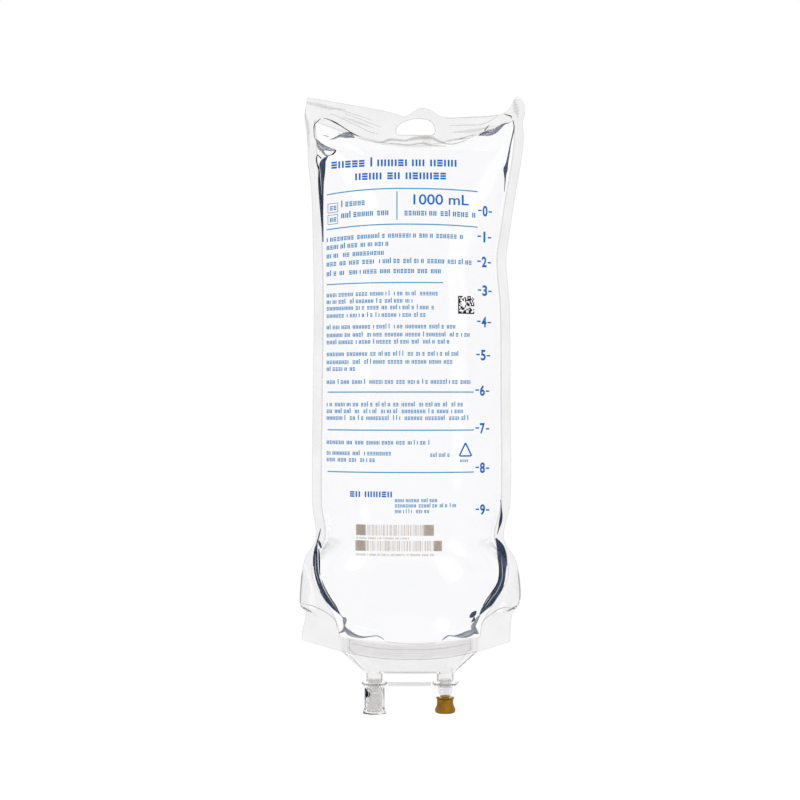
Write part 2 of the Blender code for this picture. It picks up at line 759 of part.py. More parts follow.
def med_port_septum(home, finish):
    """Amber rubber sleeve stopper: a skirt rolled down over the tube and a plug up its bore, to pierce with a needle."""
    inner = MED_TUBE_RADIUS + SEAT_GAP
    outer = inner + SEPTUM_WALL
    plug = INSERT_BORE - SEAT_GAP
    groove = MED_END - SEAT_GAP
    rim = groove + SEPTUM_SKIRT
    foot = groove - SEPTUM_NOSE
    bulge = foot + 0.95 * SEPTUM_NOSE
    profile = [
        (0.0, SEPTUM_PLUG_TOP),
        (0.6 * plug, SEPTUM_PLUG_TOP - 0.25 * MM),
        (plug, SEPTUM_PLUG_TOP - 1.1 * MM),
        (plug, groove),
        (inner, groove),
        (inner, rim),
        (outer + SEPTUM_LIP - 0.15 * MM, rim),
        (outer + SEPTUM_LIP, rim - 0.35 * MM),
        (outer, rim - 1.1 * MM),
        (outer - 0.1 * MM, rim - 0.5 * SEPTUM_SKIRT),
        (outer + 0.35 * MM, bulge + 1.9 * MM),
        (SEPTUM_BULGE_RADIUS - 0.1 * MM, bulge + 0.6 * MM),
        (SEPTUM_BULGE_RADIUS, bulge),
        (SEPTUM_BULGE_RADIUS - 0.35 * MM, foot + 0.55 * MM),
        (SEPTUM_BULGE_RADIUS - 1.3 * MM, foot),
        (0.0, foot),
    ]
    return turned("med_port_septum", profile, port_x(1), home, finish)


def main():
    clear_scene()
    bag = collection("infusion_bag")
    helpers = collection("cutters", hidden=True)
    clear = material("clear_film", CLEAR, 0.12, 0.9)
    milky = material("milky_plastic", MILKY, 0.3, 0.4)
    glassy = material("clear_plastic", CLEAR, 0.05, 0.95)
    liquid = material("saline", LIQUID, 0.0, 1.0)
    amber = material("amber_rubber", AMBER, 0.35)
    cutters = [top_edge_cutter(helpers), slot_cutter(helpers)]
    film("front_film", -1, bag, clear, cutters)
    film("back_film", 1, bag, clear, cutters)
    solution(bag, helpers, liquid)
    port_moulding(bag, helpers, milky)
    set_port_tube(bag, glassy)
    set_port_protector(bag, glassy)
    med_port_tube(bag, glassy)
    med_port_septum(bag, amber)


main()
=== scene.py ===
"""A clear one-litre infusion bag, hanging full: two sheets of film welded round the saline, the printed face,
the moulded port boat, the capped spike tube and the rubber needle port.

Metres, +Z up, the printed face along -Y. The origin is the crown of the hang slot.
"""

import math
import random

import bpy
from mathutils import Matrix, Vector
from mathutils.bvhtree import BVHTree


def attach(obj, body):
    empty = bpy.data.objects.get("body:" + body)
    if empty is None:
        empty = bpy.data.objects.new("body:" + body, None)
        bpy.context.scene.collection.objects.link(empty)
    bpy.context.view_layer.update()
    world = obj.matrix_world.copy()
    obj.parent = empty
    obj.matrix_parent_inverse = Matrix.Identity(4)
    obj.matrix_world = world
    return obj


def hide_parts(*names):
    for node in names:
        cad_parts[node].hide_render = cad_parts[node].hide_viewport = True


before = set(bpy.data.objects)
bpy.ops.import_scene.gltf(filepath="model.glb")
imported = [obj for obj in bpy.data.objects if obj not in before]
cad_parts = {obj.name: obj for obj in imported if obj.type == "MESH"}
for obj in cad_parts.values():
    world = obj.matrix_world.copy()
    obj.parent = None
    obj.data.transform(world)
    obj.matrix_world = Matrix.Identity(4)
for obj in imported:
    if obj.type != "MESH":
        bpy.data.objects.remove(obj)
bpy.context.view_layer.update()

MM = 0.001

# Film sheets, as in the solids
FILM_WIDTH = 133 * MM
FILM_THICKNESS = 0.3 * MM
SEAT_GAP = 0.3 * MM
SEAM_WIDTH = 6 * MM
TOP_LEAN = 3.3 * MM
LEAN_SHARE = 0.25

# Chamber of the bag
TOP_WELD_DROP = 2 * MM
TOP_WELD_SAG = 14.5 * MM
TOP_WELD_POWER = 1.6
CHAMBER_HEIGHT = 303 * MM
CHAMBER_DEPTH = 29 * MM
TOP_RISE = 90 * MM
BOTTOM_TAPER = 56 * MM
CORNER_HEIGHT = 41 * MM
SECTION_POWER = 2.5
LIQUID_LEVEL = 19 * MM

# Hang tab and slot
STRIP_HEIGHT = 20 * MM
TAB_CENTRE = 4.5 * MM
TAB_WIDTH = 21 * MM
TAB_RISE = 5.3 * MM
SLOT_WIDTH = 22.5 * MM
SLOT_HEIGHT = 9.4 * MM
SLOT_CORNER = 2.2 * MM
SLOT_LEAN = 2.2 * MM

# Curls and folds of the loose film
EAR_CURL = 7 * MM
EAR_TUCK = 2.5 * MM
LEFT_CORNER_CURL = 5 * MM
RIGHT_CORNER_CURL = 10 * MM
LEFT_EAR_RISE = 6.5 * MM
RIGHT_EAR_RISE = 5.5 * MM
EAR_FOLD_OUTER = -286 * MM
EAR_FOLD_INNER = -297 * MM
EAR_FOLD_SPAN = 4.6 * MM
EAR_NOTCH = 3.2 * MM

# Port boat and tubes
BOAT_HALF_LENGTH = 40 * MM
BOAT_HALF_DEPTH = 11.5 * MM
BOAT_BAND = 9 * MM
BOAT_SAG = 3.9 * MM
BOAT_TIP_GAP = 1 * MM
WELD_RIBS = 3
WELD_RIB_HEIGHT = 0.4 * MM
FUNNEL_DROP = 9 * MM
FUNNEL_WALL = 1.25 * MM
FUNNEL_FLOOR = 1.3 * MM
PORT_SPACING = 41.7 * MM
TUBE_RADIUS = 5.15 * MM
TUBE_WALL = 1.25 * MM
TUBE_DROP = 5 * MM
FLANGE_RADIUS = 7.8 * MM
FLANGE_RIM = 1.3 * MM
FLANGE_CONE = 1.9 * MM
BAR_HEIGHT = 2.9 * MM
BAR_DEPTH = 2.6 * MM
GUSSET_RADIUS = 3.6 * MM
GUSSET_THICKNESS = 1.2 * MM

# Pieces plugged into the ports
SPIGOT_LENGTH = 4.6 * MM
SET_BARREL_RADIUS = 4.5 * MM
SET_BARREL_LENGTH = 14.2 * MM
SET_SOCKET_RADIUS = 3.15 * MM
SET_MEMBRANE = 0.8 * MM
SET_SOCKET_DEPTH = 10.5 * MM
INSERT_BORE = 2.5 * MM
MED_COLLAR_RADIUS = 4.4 * MM
MED_COLLAR_LENGTH = 3.2 * MM
MED_TUBE_RADIUS = 3.7 * MM
MED_TUBE_LENGTH = 12.6 * MM
PROTECTOR_WALL = 1.1 * MM
PROTECTOR_FLOOR = 1.2 * MM
PROTECTOR_FOOT_RADIUS = 6.9 * MM
PROTECTOR_FOOT_HEIGHT = 4.6 * MM
SEPTUM_WALL = 0.95 * MM
SEPTUM_LIP = 0.5 * MM
SEPTUM_SKIRT = 7.2 * MM
SEPTUM_BULGE_RADIUS = 6.05 * MM
SEPTUM_PLUG_RISE = 8.6 * MM
SEPTUM_NOSE = 2.2 * MM

# How finely the surfaces are divided
CHAMBER_ROWS = 300
STRIP_ROWS = 26
BAND_ROWS = 8
SECTION_COLUMNS = 72
MARGIN_COLUMNS = 20
TURNED_SIDES = 72
RIBBON_STEP = 0.6 * MM
RIBBON_ROWS = 4

# Drawing in of the film's edges: share of the way down, then left edge and right edge in millimetres
EDGE_DRAW = (
    (-0.06, 3.0, 2.5), (-0.03, 1.8, 1.0), (-0.02, 1.0, 0.7), (-0.008, 0.8, 2.4), (0.0, 1.4, 3.2),
    (0.03, 2.7, 2.5), (0.08, 4.0, 3.5), (0.14, 7.1, 5.5), (0.21, 8.9, 7.6), (0.27, 9.5, 9.6),
    (0.36, 9.9, 7.6), (0.53, 9.3, 7.2), (0.74, 8.9, 7.2), (0.81, 10.9, 11.0), (0.85, 4.5, 4.2),
    (0.88, 3.0, 2.5), (0.93, 2.1, 2.1), (0.96, 2.3, 6.2), (1.02, 2.8, 7.4),
)

# The cut top edge on both sides of the hang tab: share of the half width, then height in millimetres
TOP_EDGE_LEFT = ((-1.2, 12.6), (-0.96, 12.2), (-0.65, 9.2), (-0.27, 4.7), (-0.12, 1.9))
TOP_EDGE_RIGHT = (
    (0.30, 0.8), (0.52, 1.4), (0.75, 2.7), (0.84, 6.2), (0.87, 10.6), (0.9, 12.9), (0.935, 10.9),
    (0.966, 7.6), (1.2, 6.0),
)

# Ridges pressed up in both sheets: ends (x, z) in millimetres, width and height in millimetres
STRIP_RIDGES = (
    ((-51.6, 5.6), (-25, -1), 1.4, 0.9),
    ((-50.6, 3.0), (-22, -9), 1.3, 1.0),
    ((-41.8, 3.1), (-20, -4.7), 1.2, -0.8),
    ((20, -4), (49, 0), 1.4, 0.9),
    ((17, -13), (36, -9.6), 1.3, 0.8),
    ((18, 0.4), (49, 2.2), 1.1, -0.6),
    ((57, 12), (60, -2), 2.2, 1.6),
    ((-62, 10), (-60, -8), 2.5, 0.9),
)
CHAMBER_RIDGES = (
    ((-50, -12), (-30, -24), 3.0, -1.2),
    ((-56, -22), (-53, -60), 2.4, -0.9),
    ((46, -8), (24, -22), 3.0, -1.0),
    ((54, -22), (50, -60), 2.2, -0.9),
    ((-57, -256), (-46, -288), 2.6, -0.4),
    ((50, -256), (42, -288), 2.6, -0.4),
    ((-40, -296), (-24, -302), 2.4, -0.8),
    ((38, -296), (22, -302), 2.4, -0.8),
)

CORNER_TOP = -TOP_WELD_DROP
BOAT_TOP = CORNER_TOP - CHAMBER_HEIGHT
BOAT_BOTTOM = BOAT_TOP - BOAT_BAND
FUNNEL_BOTTOM = BOAT_BOTTOM - BOAT_SAG - FUNNEL_DROP
FLANGE_TOP = FUNNEL_BOTTOM - TUBE_DROP
FLANGE_BOTTOM = FLANGE_TOP - FLANGE_RIM - FLANGE_CONE
TUBE_BORE = TUBE_RADIUS - TUBE_WALL
SPIGOT_RADIUS = TUBE_BORE - SEAT_GAP
SPIGOT_TOP = FLANGE_BOTTOM + SPIGOT_LENGTH
INSERT_TOP = FLANGE_BOTTOM - SEAT_GAP
SET_MOUTH = INSERT_TOP - SET_BARREL_LENGTH
SET_MEMBRANE_TOP = SET_MOUTH + SET_SOCKET_DEPTH + SET_MEMBRANE
MED_END = INSERT_TOP - MED_TUBE_LENGTH
SEPTUM_PLUG_TOP = MED_END + SEPTUM_PLUG_RISE
PROTECTOR_INNER = SET_BARREL_RADIUS + SEAT_GAP
PROTECTOR_OUTER = PROTECTOR_INNER + PROTECTOR_WALL

# Camera and room
CAMERA_DISTANCE = 1.6
VIEW_WIDTH = 0.472
VIEW_CENTRE = (-9.1 * MM, -165.8 * MM)
FLOOR_HEIGHT = -0.62
LAMP_AIM = Vector((0, 0, -0.165))

# Printing: the plane it is drawn on in front of the bag, its centre and scale, its lift and thickness
PRINT_PLANE = -0.1
PRINT_CENTRE = Vector((-9 * MM, 0, -168 * MM))
PRINT_SCALE = 0.988
INK_LIFT = 0.02 * MM
INK_THICKNESS = 0.03 * MM

# Steps at which printed lines, upright lines and letters are cut to follow the film, in millimetres
LINE_CUT = 1.2
UPRIGHT_CUT = 1.5
LETTER_CUT = 0.9

# Droop of printed lines, in millimetres: where it is least, how far to the left it reaches its amount, and
# the share of it on the right
DROOP_MIDDLE = -8
DROOP_SPAN = 45
DROOP_RIGHT = 0.55

# Ribbons of painted reflection and shade: where the ray that finds their surface starts and, if it passes by,
# where the nearest point is looked for. Then their thickness, the depth of those in the liquid, and the lift
# of those on a piece's face
RAY_START = -0.2
NEAR_FRONT = -0.02
STREAK_THICKNESS = 0.04 * MM
LIQUID_DEPTH = -0.42 * MM
SHADE_LIFT = 0.0105 * MM
LINE_LIFT = 0.014 * MM
FOLD_LIFT = 0.021 * MM
HAZE_LIFT = 0.042 * MM

# The painted grey shade round the slot's cut edge: how far it outgrows the slot across and upwards, the
# slot's middle height and its width in millimetres
RIM_GROWTH = (1.04, 1.06)
SLOT_MIDDLE = -4.7
RIM_WIDTH = 0.55

# Map units to a metre, and the angles up to which a face is shaded smooth and from which an edge is rounded
MAP_UNITS = 10
SMOOTH_ANGLE = math.radians(40)
ROUNDED_ANGLE = math.radians(35)

# Painted reflections, shade and highlights, in millimetres: stations of (x, z, full width). First what the
# liquid's steep edges show: painted dark navy reflections
NAVY_EDGE_REFLECTIONS = (
    ((-51.8, -22.2, 0.5), (-53.0, -23.4, 1.8), (-54.4, -25.0, 3.2), (-55.1, -27.6, 4.4),
     (-55.4, -31.9, 4.4), (-55.8, -38.9, 3.6), (-55.6, -47.8, 2.7), (-55.3, -56.6, 1.7),
     (-54.9, -64.3, 1.0), (-54.6, -72.6, 0.4)),
    ((57.3, -1.0, 0.3), (58.2, -5.0, 0.7), (57.3, -10.1, 0.8), (56.0, -16.0, 0.9), (55.1, -21.4, 1.2),
     (54.1, -26.4, 1.7), (53.3, -29.8, 2.9), (53.1, -32.7, 1.7), (53.1, -36.2, 0.9), (52.6, -43.1, 0.3)),
    ((-55.9, -241.6, 0.3), (-56.6, -244.8, 0.8), (-57.6, -248.4, 0.8), (-58.2, -250.8, 0.9)),
    ((-57.2, -248.6, 0.6), (-56.5, -250.5, 1.7), (-55.6, -253.1, 0.8)),
    ((-58.0, -250.2, 0.7), (-58.7, -253.7, 2.0), (-59.1, -259.0, 2.9), (-58.9, -264.9, 3.0),
     (-58.0, -270.2, 3.0), (-56.3, -275.5, 3.2), (-54.0, -280.2, 3.2), (-51.3, -284.4, 3.1),
     (-48.4, -287.9, 2.9), (-46.0, -290.4, 1.6), (-44.5, -292.3, 0.4)),
    ((50.4, -224.8, 0.4), (50.6, -230.1, 0.9), (50.7, -233.6, 1.6), (50.2, -237.5, 2.0),
     (49.3, -241.3, 1.0), (48.2, -245.1, 0.3)),
    ((47.4, -247.3, 0.9), (49.1, -250.2, 3.2), (50.3, -253.1, 5.0), (51.2, -257.8, 6.0),
     (51.9, -262.6, 5.0), (51.7, -267.3, 4.1), (51.0, -272.0, 4.4), (49.3, -276.7, 4.9),
     (46.9, -280.8, 4.6), (43.7, -285.6, 4.4), (40.4, -289.1, 3.2), (38.1, -292.3, 0.8)),
    ((36.0, -289.9, 0.6), (34.8, -291.2, 2.9), (33.0, -292.9, 2.7), (31.9, -293.7, 0.6)),
    ((34.8, -293.5, 0.7), (34.4, -295.3, 1.7), (33.1, -296.8, 0.4)),
)
# Painted dark reflections: the thin black lines in the liquid's steep edges and the film's folds.
DARK_LINE_REFLECTIONS = (
    ((-57.1, -253.7, 0.5), (-56.8, -256.6, 1.1), (-56.6, -261.4, 1.2), (-56.5, -265.5, 0.9),
     (-56.2, -269.0, 0.5)),
    ((-55.0, -272.0, 0.3), (-53.7, -275.5, 0.7), (-51.6, -279.7, 0.8), (-49.3, -283.5, 0.8),
     (-46.9, -287.0, 0.7), (-45.0, -290.9, 0.5)),
    ((48.2, -257.8, 0.3), (48.9, -261.4, 0.6), (49.4, -265.5, 0.8), (48.8, -271.4, 0.6),
     (47.5, -274.9, 0.7), (44.8, -279.1, 0.8), (41.9, -283.2, 0.8), (39.8, -286.7, 0.5)),
    ((-55.8, 0.1, 0.4), (-57.8, -1.5, 0.5), (-59.6, -3.7, 0.6), (-59.8, -7.2, 0.5), (-59.5, -10.6, 0.4),
     (-58.8, -12.3, 0.3)),
    ((-54.6, 0.6, 0.2), (-51.1, -0.4, 0.5), (-47.2, -2.2, 0.9), (-43.8, -4.2, 0.6), (-39.3, -7.2, 0.6),
     (-35.9, -9.1, 0.7), (-32.9, -10.5, 0.2)),
    ((-54.8, -9.6, 0.1), (-52.9, -10.1, 0.4), (-50.9, -10.9, 0.2)),
    ((52.2, 2.9, 0.3), (54.3, 2.1, 0.6), (56.2, 1.4, 0.7), (56.8, 0.0, 0.2)),
    ((-57.6, -21.0, 0.5), (-58.4, -23.4, 0.8), (-57.9, -26.8, 0.9), (-57.0, -29.8, 0.9)),
    ((-57.6, -21.3, 0.4), (-56.6, -22.2, 0.7), (-55.6, -23.4, 0.9)),
    ((-49.4, -21.6, 0.4), (-48.0, -20.5, 0.9), (-47.2, -19.3, 0.9), (-46.9, -18.6, 0.3)),
)
# Painted reflections: the steel-grey wedges in the liquid's steep edges.
STEEL_EDGE_REFLECTIONS = (
    ((-50.4, -12.2, 0.4), (-47.7, -11.6, 1.2), (-44.7, -10.1, 2.0), (-41.8, -9.6, 3.9),
     (-38.8, -9.6, 3.8), (-35.6, -11.0, 0.4)),
    ((-58.7, -11.9, 0.5), (-57.6, -13.6, 2.2), (-56.5, -15.6, 4.0), (-55.0, -17.0, 5.2),
     (-53.1, -17.3, 3.4), (-50.3, -18.2, 2.4), (-47.6, -18.6, 1.2), (-46.6, -18.8, 0.5)),
    ((-55.4, -18.6, 1.6), (-54.2, -20.4, 1.6), (-53.1, -21.5, 1.3), (-51.8, -21.9, 1.0),
     (-50.1, -21.5, 0.8), (-49.1, -21.3, 0.9), (-47.8, -20.2, 1.2), (-46.9, -18.9, 1.0)),
    ((55.4, -2.6, 0.3), (52.8, -2.8, 0.9), (49.9, -4.7, 2.3), (46.9, -7.1, 3.4), (43.5, -8.2, 4.2),
     (40.0, -8.9, 2.7), (36.8, -9.7, 0.3)),
    ((43.4, -3.6, 0.3), (42.2, -5.0, 0.9), (40.8, -6.8, 1.1)),
    ((-44.5, -291.8, 0.5), (-43.2, -293.9, 0.8), (-42.0, -294.7, 2.7), (-41.9, -296.2, 2.7),
     (-42.1, -298.8, 1.2), (-41.9, -300.9, 2.7), (-43.2, -302.2, 1.5), (-45.3, -303.4, 0.4)),
    ((-42.3, -300.0, 1.6), (-39.8, -302.4, 3.5), (-36.9, -304.0, 2.8), (-33.3, -304.9, 1.8),
     (-29.8, -305.0, 1.1), (-26.3, -304.4, 0.7), (-22.1, -304.2, 0.7), (-18.6, -306.2, 0.5)),
    ((38.1, -292.6, 0.9), (36.6, -294.7, 2.0), (35.4, -297.1, 2.4), (34.2, -299.4, 3.2),
     (35.7, -302.1, 2.8), (37.5, -303.6, 0.7)),
    ((37.5, -303.6, 0.8), (34.5, -302.4, 3.5), (30.4, -303.6, 4.5), (26.3, -304.3, 2.8),
     (22.7, -304.4, 0.9), (19.5, -304.1, 0.8), (17.1, -305.5, 0.9), (15.6, -306.8, 0.3)),
)
# Painted grey shade along the film's folds and in a wavy band under the slot.
SOFT_FOLD_SHADES = (
    ((-51.6, 5.6, 0.6), (-47.2, 5.7, 0.6), (-43.8, 5.0, 0.6), (-38.8, 3.6, 0.6), (-32.0, 1.4, 0.6),
     (-25.1, -1.0, 0.4)),
    ((-50.6, 3.0, 0.6), (-46.7, 1.7, 0.6), (-41.8, -0.5, 0.6), (-36.9, -3.0, 0.6), (-32.0, -5.3, 0.6),
     (-27.0, -7.7, 0.6), (-22.1, -8.9, 0.4)),
    ((-41.8, 3.1, 0.4), (-34.9, 0.7, 0.5), (-27.0, -2.3, 0.5), (-20.2, -4.7, 0.3)),
    ((19.9, -4.0, 0.4), (29.2, -3.7, 0.6), (40.0, -3.0, 0.6), (48.9, 1.7, 0.4)),
    ((17.4, -13.1, 0.4), (23.3, -12.1, 0.7), (30.7, -11.6, 0.7), (36.1, -9.6, 0.5)),
    ((18.4, 0.2, 0.4), (29.2, 0.9, 0.5), (42.0, 1.2, 0.5), (48.9, 2.2, 0.4)),
    ((-67.0, -285.3, 0.5), (-59.9, -287.3, 0.9), (-54.0, -290.3, 1.0), (-49.3, -293.5, 0.9),
     (-46.9, -296.8, 0.8), (-46.0, -300.9, 0.5)),
    ((57.5, -288.5, 0.5), (52.8, -287.9, 0.9), (48.7, -289.4, 1.0), (44.0, -292.6, 0.9),
     (40.4, -295.6, 0.8), (38.6, -299.1, 0.5)),
    ((-34.0, -11.4, 0.6), (-25.2, -13.3, 1.2), (-20.9, -14.1, 1.6), (-14.6, -12.2, 2.4),
     (-6.2, -12.8, 1.8), (0.1, -11.4, 3.0), (8.6, -11.0, 3.2), (14.9, -13.6, 2.0), (21.2, -15.1, 1.4),
     (30.7, -12.6, 0.8)),
    ((-18.0, -307.3, 0.4), (-8.0, -308.4, 0.5), (4.0, -308.7, 0.5), (12.0, -308.0, 0.4)),
    ((-20.0, -15.2, 0.5), (-12.0, -14.6, 1.0), (-4.0, -15.3, 1.2), (4.3, -14.4, 1.4), (10.7, -15.9, 1.2),
     (18.0, -16.4, 0.6)),
)
# Painted grey shade on the film's top corners and strips.
FILM_SHADE_PATCHES = (
    ((-66.0, 9.8, 0.3), (-62.0, 8.8, 3.0), (-56.0, 7.6, 4.0), (-49.0, 6.4, 2.6), (-41.0, 5.4, 0.3)),
    ((-65.6, 5.0, 0.3), (-64.6, 1.0, 2.0), (-63.4, -5.0, 3.0), (-63.0, -12.0, 2.2), (-62.6, -19.0, 0.3)),
    ((57.6, 10.8, 0.5), (58.8, 7.5, 4.4), (59.5, 4.0, 4.8), (60.4, 0.5, 0.5)),
    ((-44.0, 1.5, 0.3), (-34.0, -2.0, 2.5), (-24.0, -5.5, 0.3)),
    ((20.0, -8.0, 0.3), (34.0, -7.0, 3.5), (47.0, -4.0, 0.3)),
)
# Painted grey shade along the moulding's edges, the bar and the flanges.
MOULDING_EDGE_SHADES = (
    ((-39.2, -315.8, 0.6), (-34.5, -320.6, 0.8), (-30.4, -325.0, 0.6)),
    ((33.9, -315.6, 0.6), (28.8, -320.4, 0.8), (23.9, -325.0, 0.6)),
    ((-18.4, -326.2, 0.8), (-3.0, -326.2, 1.0), (12.6, -326.2, 0.8)),
    ((-28.5, -326.6, 0.7), (-28.5, -329.0, 1.0), (-28.5, -331.8, 0.8)),
    ((-19.9, -326.6, 0.8), (-19.9, -329.0, 1.2), (-19.9, -331.8, 1.0)),
    ((13.2, -326.6, 0.8), (13.2, -329.0, 1.2), (13.2, -331.8, 1.0)),
    ((21.9, -326.6, 0.7), (21.9, -329.0, 1.0), (21.9, -331.8, 0.8)),
    ((-31.4, -332.8, 1.0), (-29.0, -333.0, 1.5), (-24.2, -333.1, 1.5), (-19.2, -333.0, 1.5),
     (-16.8, -332.8, 1.0)),
    ((10.2, -332.8, 1.0), (12.6, -333.0, 1.5), (17.5, -333.1, 1.5), (22.4, -333.0, 1.5),
     (24.8, -332.8, 1.0)),
    ((-16.0, -332.6, 0.7), (-3.0, -332.6, 0.7), (9.2, -332.6, 0.7)),
)
MOULDING_SHADES = (
    ((-40.0, -314.6, 0.7), (-22.0, -317.2, 0.9), (-3.0, -317.9, 0.9), (17.0, -317.1, 0.9),
     (34.0, -314.6, 0.7)),
    ((-38.0, -309.0, 0.5), (-22.0, -311.4, 0.7), (-3.0, -312.1, 0.7), (17.0, -311.3, 0.7),
     (32.0, -309.0, 0.5)),
    ((-38.8, -306.7, 0.6), (-38.8, -314.0, 0.6)),
    ((32.3, -306.7, 0.6), (32.3, -314.0, 0.6)),
    ((-16.0, -333.7, 2.0), (-3.0, -333.7, 2.2), (9.2, -333.7, 2.0)),
    ((-28.0, -330.9, 1.0), (-24.2, -331.0, 1.4), (-20.4, -330.9, 1.0)),
    ((13.7, -330.9, 1.0), (17.5, -331.0, 1.4), (21.3, -330.9, 1.0)),
    ((-31.6, -333.2, 0.6), (-30.0, -333.3, 1.8), (-24.2, -333.7, 2.4), (-18.2, -333.3, 1.8),
     (-16.6, -333.2, 0.6)),
    ((10.0, -333.2, 0.6), (11.7, -333.3, 1.8), (17.5, -333.7, 2.4), (23.3, -333.3, 1.8),
     (25.0, -333.2, 0.6)),
)
# Painted dark reflections in the clear cap: a wedge, a spot and thin lines.
PROTECTOR_DARK_REFLECTIONS = (
    ((-29.6, -335.2, 0.5), (-29.2, -336.6, 1.2), (-28.7, -338.2, 2.2), (-28.7, -339.6, 2.2),
     (-29.2, -341.1, 0.5)),
    ((-27.4, -337.6, 0.3), (-26.9, -338.6, 0.8), (-27.1, -339.8, 0.8), (-27.9, -340.4, 0.3)),
    ((-29.5, -341.2, 0.35), (-29.6, -344.0, 0.35), (-29.7, -345.6, 0.4)),
    ((-30.4, -349.6, 0.4), (-29.4, -350.0, 0.6), (-26.9, -350.3, 0.7), (-22.0, -350.3, 0.4)),
)
SEPTUM_SHADES = (
    ((13.6, -341.9, 0.7), (17.5, -342.2, 1.1), (21.4, -341.9, 0.7)),
    ((14.0, -350.0, 0.5), (17.5, -350.4, 0.9), (21.0, -350.0, 0.5)),
)
GLINTS = (
    ((50.3, -258.2, 0.2), (51.1, -264.8, 0.6), (50.9, -271.4, 0.6), (48.3, -278.0, 0.7),
     (44.7, -282.7, 0.7), (40.9, -287.9, 0.2)),
    ((-55.6, -271.4, 0.2), (-54.1, -276.1, 0.7), (-51.7, -280.8, 0.7), (-48.9, -285.0, 0.6),
     (-45.8, -289.3, 0.2)),
    ((-59.0, -256.8, 0.2), (-58.7, -266.7, 0.6), (-56.6, -274.2, 0.2)),
    ((-56.7, -25.9, 0.2), (-56.2, -31.6, 0.7), (-55.7, -37.2, 0.6), (-55.2, -44.7, 0.2)),
    ((-57.4, -14.6, 0.3), (-56.2, -16.2, 1.0), (-54.6, -17.4, 1.2), (-52.8, -17.2, 0.3)),
    ((41.2, -6.9, 0.3), (44.5, -7.3, 1.1), (48.3, -5.7, 0.3)),
    ((-45.8, -8.5, 0.3), (-43.0, -9.2, 0.9), (-39.0, -8.9, 0.3)),
    ((-40.2, -302.4, 0.3), (-36.4, -304.5, 0.9), (-31.7, -305.3, 0.3)),
    ((24.7, -304.9, 0.3), (29.4, -304.2, 1.2), (34.1, -302.2, 0.3)),
)
# Painted amber glow of the rubber plug seen through the clear tube.
PLUG_GLOW = (
    ((14.6, -340.35, 1.5), (17.5, -340.2, 1.9), (20.5, -340.35, 1.5)),
)


# Small tools


def deselect_all():
    if bpy.context.object and bpy.context.object.mode != "OBJECT":
        bpy.ops.object.mode_set(mode="OBJECT")
    bpy.ops.object.select_all(action="DESELECT")


def make_active(obj):
    deselect_all()
    obj.select_set(True)
    bpy.context.view_layer.objects.active = obj


def modify(obj, kind, **values):
    """Gives an object one modifier with these values and applies it."""
    modifier = obj.modifiers.new(kind.lower(), kind)
    for key, value in values.items():
        setattr(modifier, key, value)
    make_active(obj)
    bpy.ops.object.modifier_apply(modifier=modifier.name)


def settle(obj):
    """Puts an object's place and turn into its mesh."""
    make_active(obj)
    bpy.ops.object.transform_apply(location=True, rotation=True, scale=True)


def join(name, pieces):
    deselect_all()
    for piece in pieces:
        piece.select_set(True)
    bpy.context.view_layer.objects.active = pieces[0]
    if len(pieces) > 1:
        bpy.ops.object.join()
    pieces[0].name = name
    return pieces[0]


def edit_all(obj):
    make_active(obj)
    bpy.ops.object.mode_set(mode="EDIT")
    bpy.ops.mesh.select_all(action="SELECT")


def close_up(obj, distance=0.01 * MM):
    """Merges doubles and turns the faces outwards."""
    edit_all(obj)
    bpy.ops.mesh.remove_doubles(threshold=distance)
    bpy.ops.mesh.select_all(action="SELECT")
    bpy.ops.mesh.normals_make_consistent(inside=False)
    bpy.ops.object.mode_set(mode="OBJECT")
    return obj


def boolean(obj, other, operation):
    """Adds another piece to an object or cuts it out, and uses the other piece up."""
    modify(obj, "BOOLEAN", operation=operation, object=other, solver="EXACT")
    bpy.data.objects.remove(other)


def thicken(obj, thickness, offset):
    modify(obj, "SOLIDIFY", thickness=thickness, offset=offset)


def mapped_grid(name, columns, rows, place, marks=None, layer_name="run"):
    """A grid primitive with each vertex put where place(column, row) says, row 0 at the top, and its map
    likewise where marks(column, row) says."""
    deselect_all()
    bpy.ops.mesh.primitive_grid_add(x_subdivisions=columns, y_subdivisions=rows, size=1)
    obj = bpy.context.object
    obj.name = name
    mesh = obj.data
    spots = [(round((v.co.x + 0.5) * columns), round((0.5 - v.co.y) * rows)) for v in mesh.vertices]
    for vertex, spot in zip(mesh.vertices, spots):
        vertex.co = place(*spot)
    layer = mesh.uv_layers[0]
    layer.name = layer_name
    if marks:
        values = [marks(*spot) for spot in spots]
        for loop in mesh.loops:
            layer.data[loop.index].uv = values[loop.vertex_index]
    mesh.update()
    return obj


def flat_face(name, outline, y):
    """A flat face with an (x, z) outline, in front of or behind the bag's middle plane, left in edit mode."""
    deselect_all()
    bpy.ops.mesh.primitive_circle_add(vertices=len(outline), radius=1, fill_type="NGON")
    obj = bpy.context.object
    obj.name = name
    for vertex, (x, z) in zip(obj.data.vertices, outline):
        vertex.co = (x, y, z)
    edit_all(obj)
    return obj


def face_front(obj):
    """Turns an open surface's faces towards -Y."""
    if sum(face.normal.y * face.area for face in obj.data.polygons) > 0:
        obj.data.flip_normals()
    return obj


def finish_piece(obj, material, node=None, body="bag"):
    """Smooths a piece, gives it its finish, hangs it on the body it rides on and hides the CAD part it stands
    for.
    """
    obj.data.materials.clear()
    obj.data.materials.append(material)
    make_active(obj)
    bpy.ops.object.shade_smooth_by_angle(angle=SMOOTH_ANGLE)
    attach(obj, body)
    if node:
        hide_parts(node)
    return obj


def smooth_step(t):
    t = min(max(t, 0.0), 1.0)
    return t * t * (3 - 2 * t)


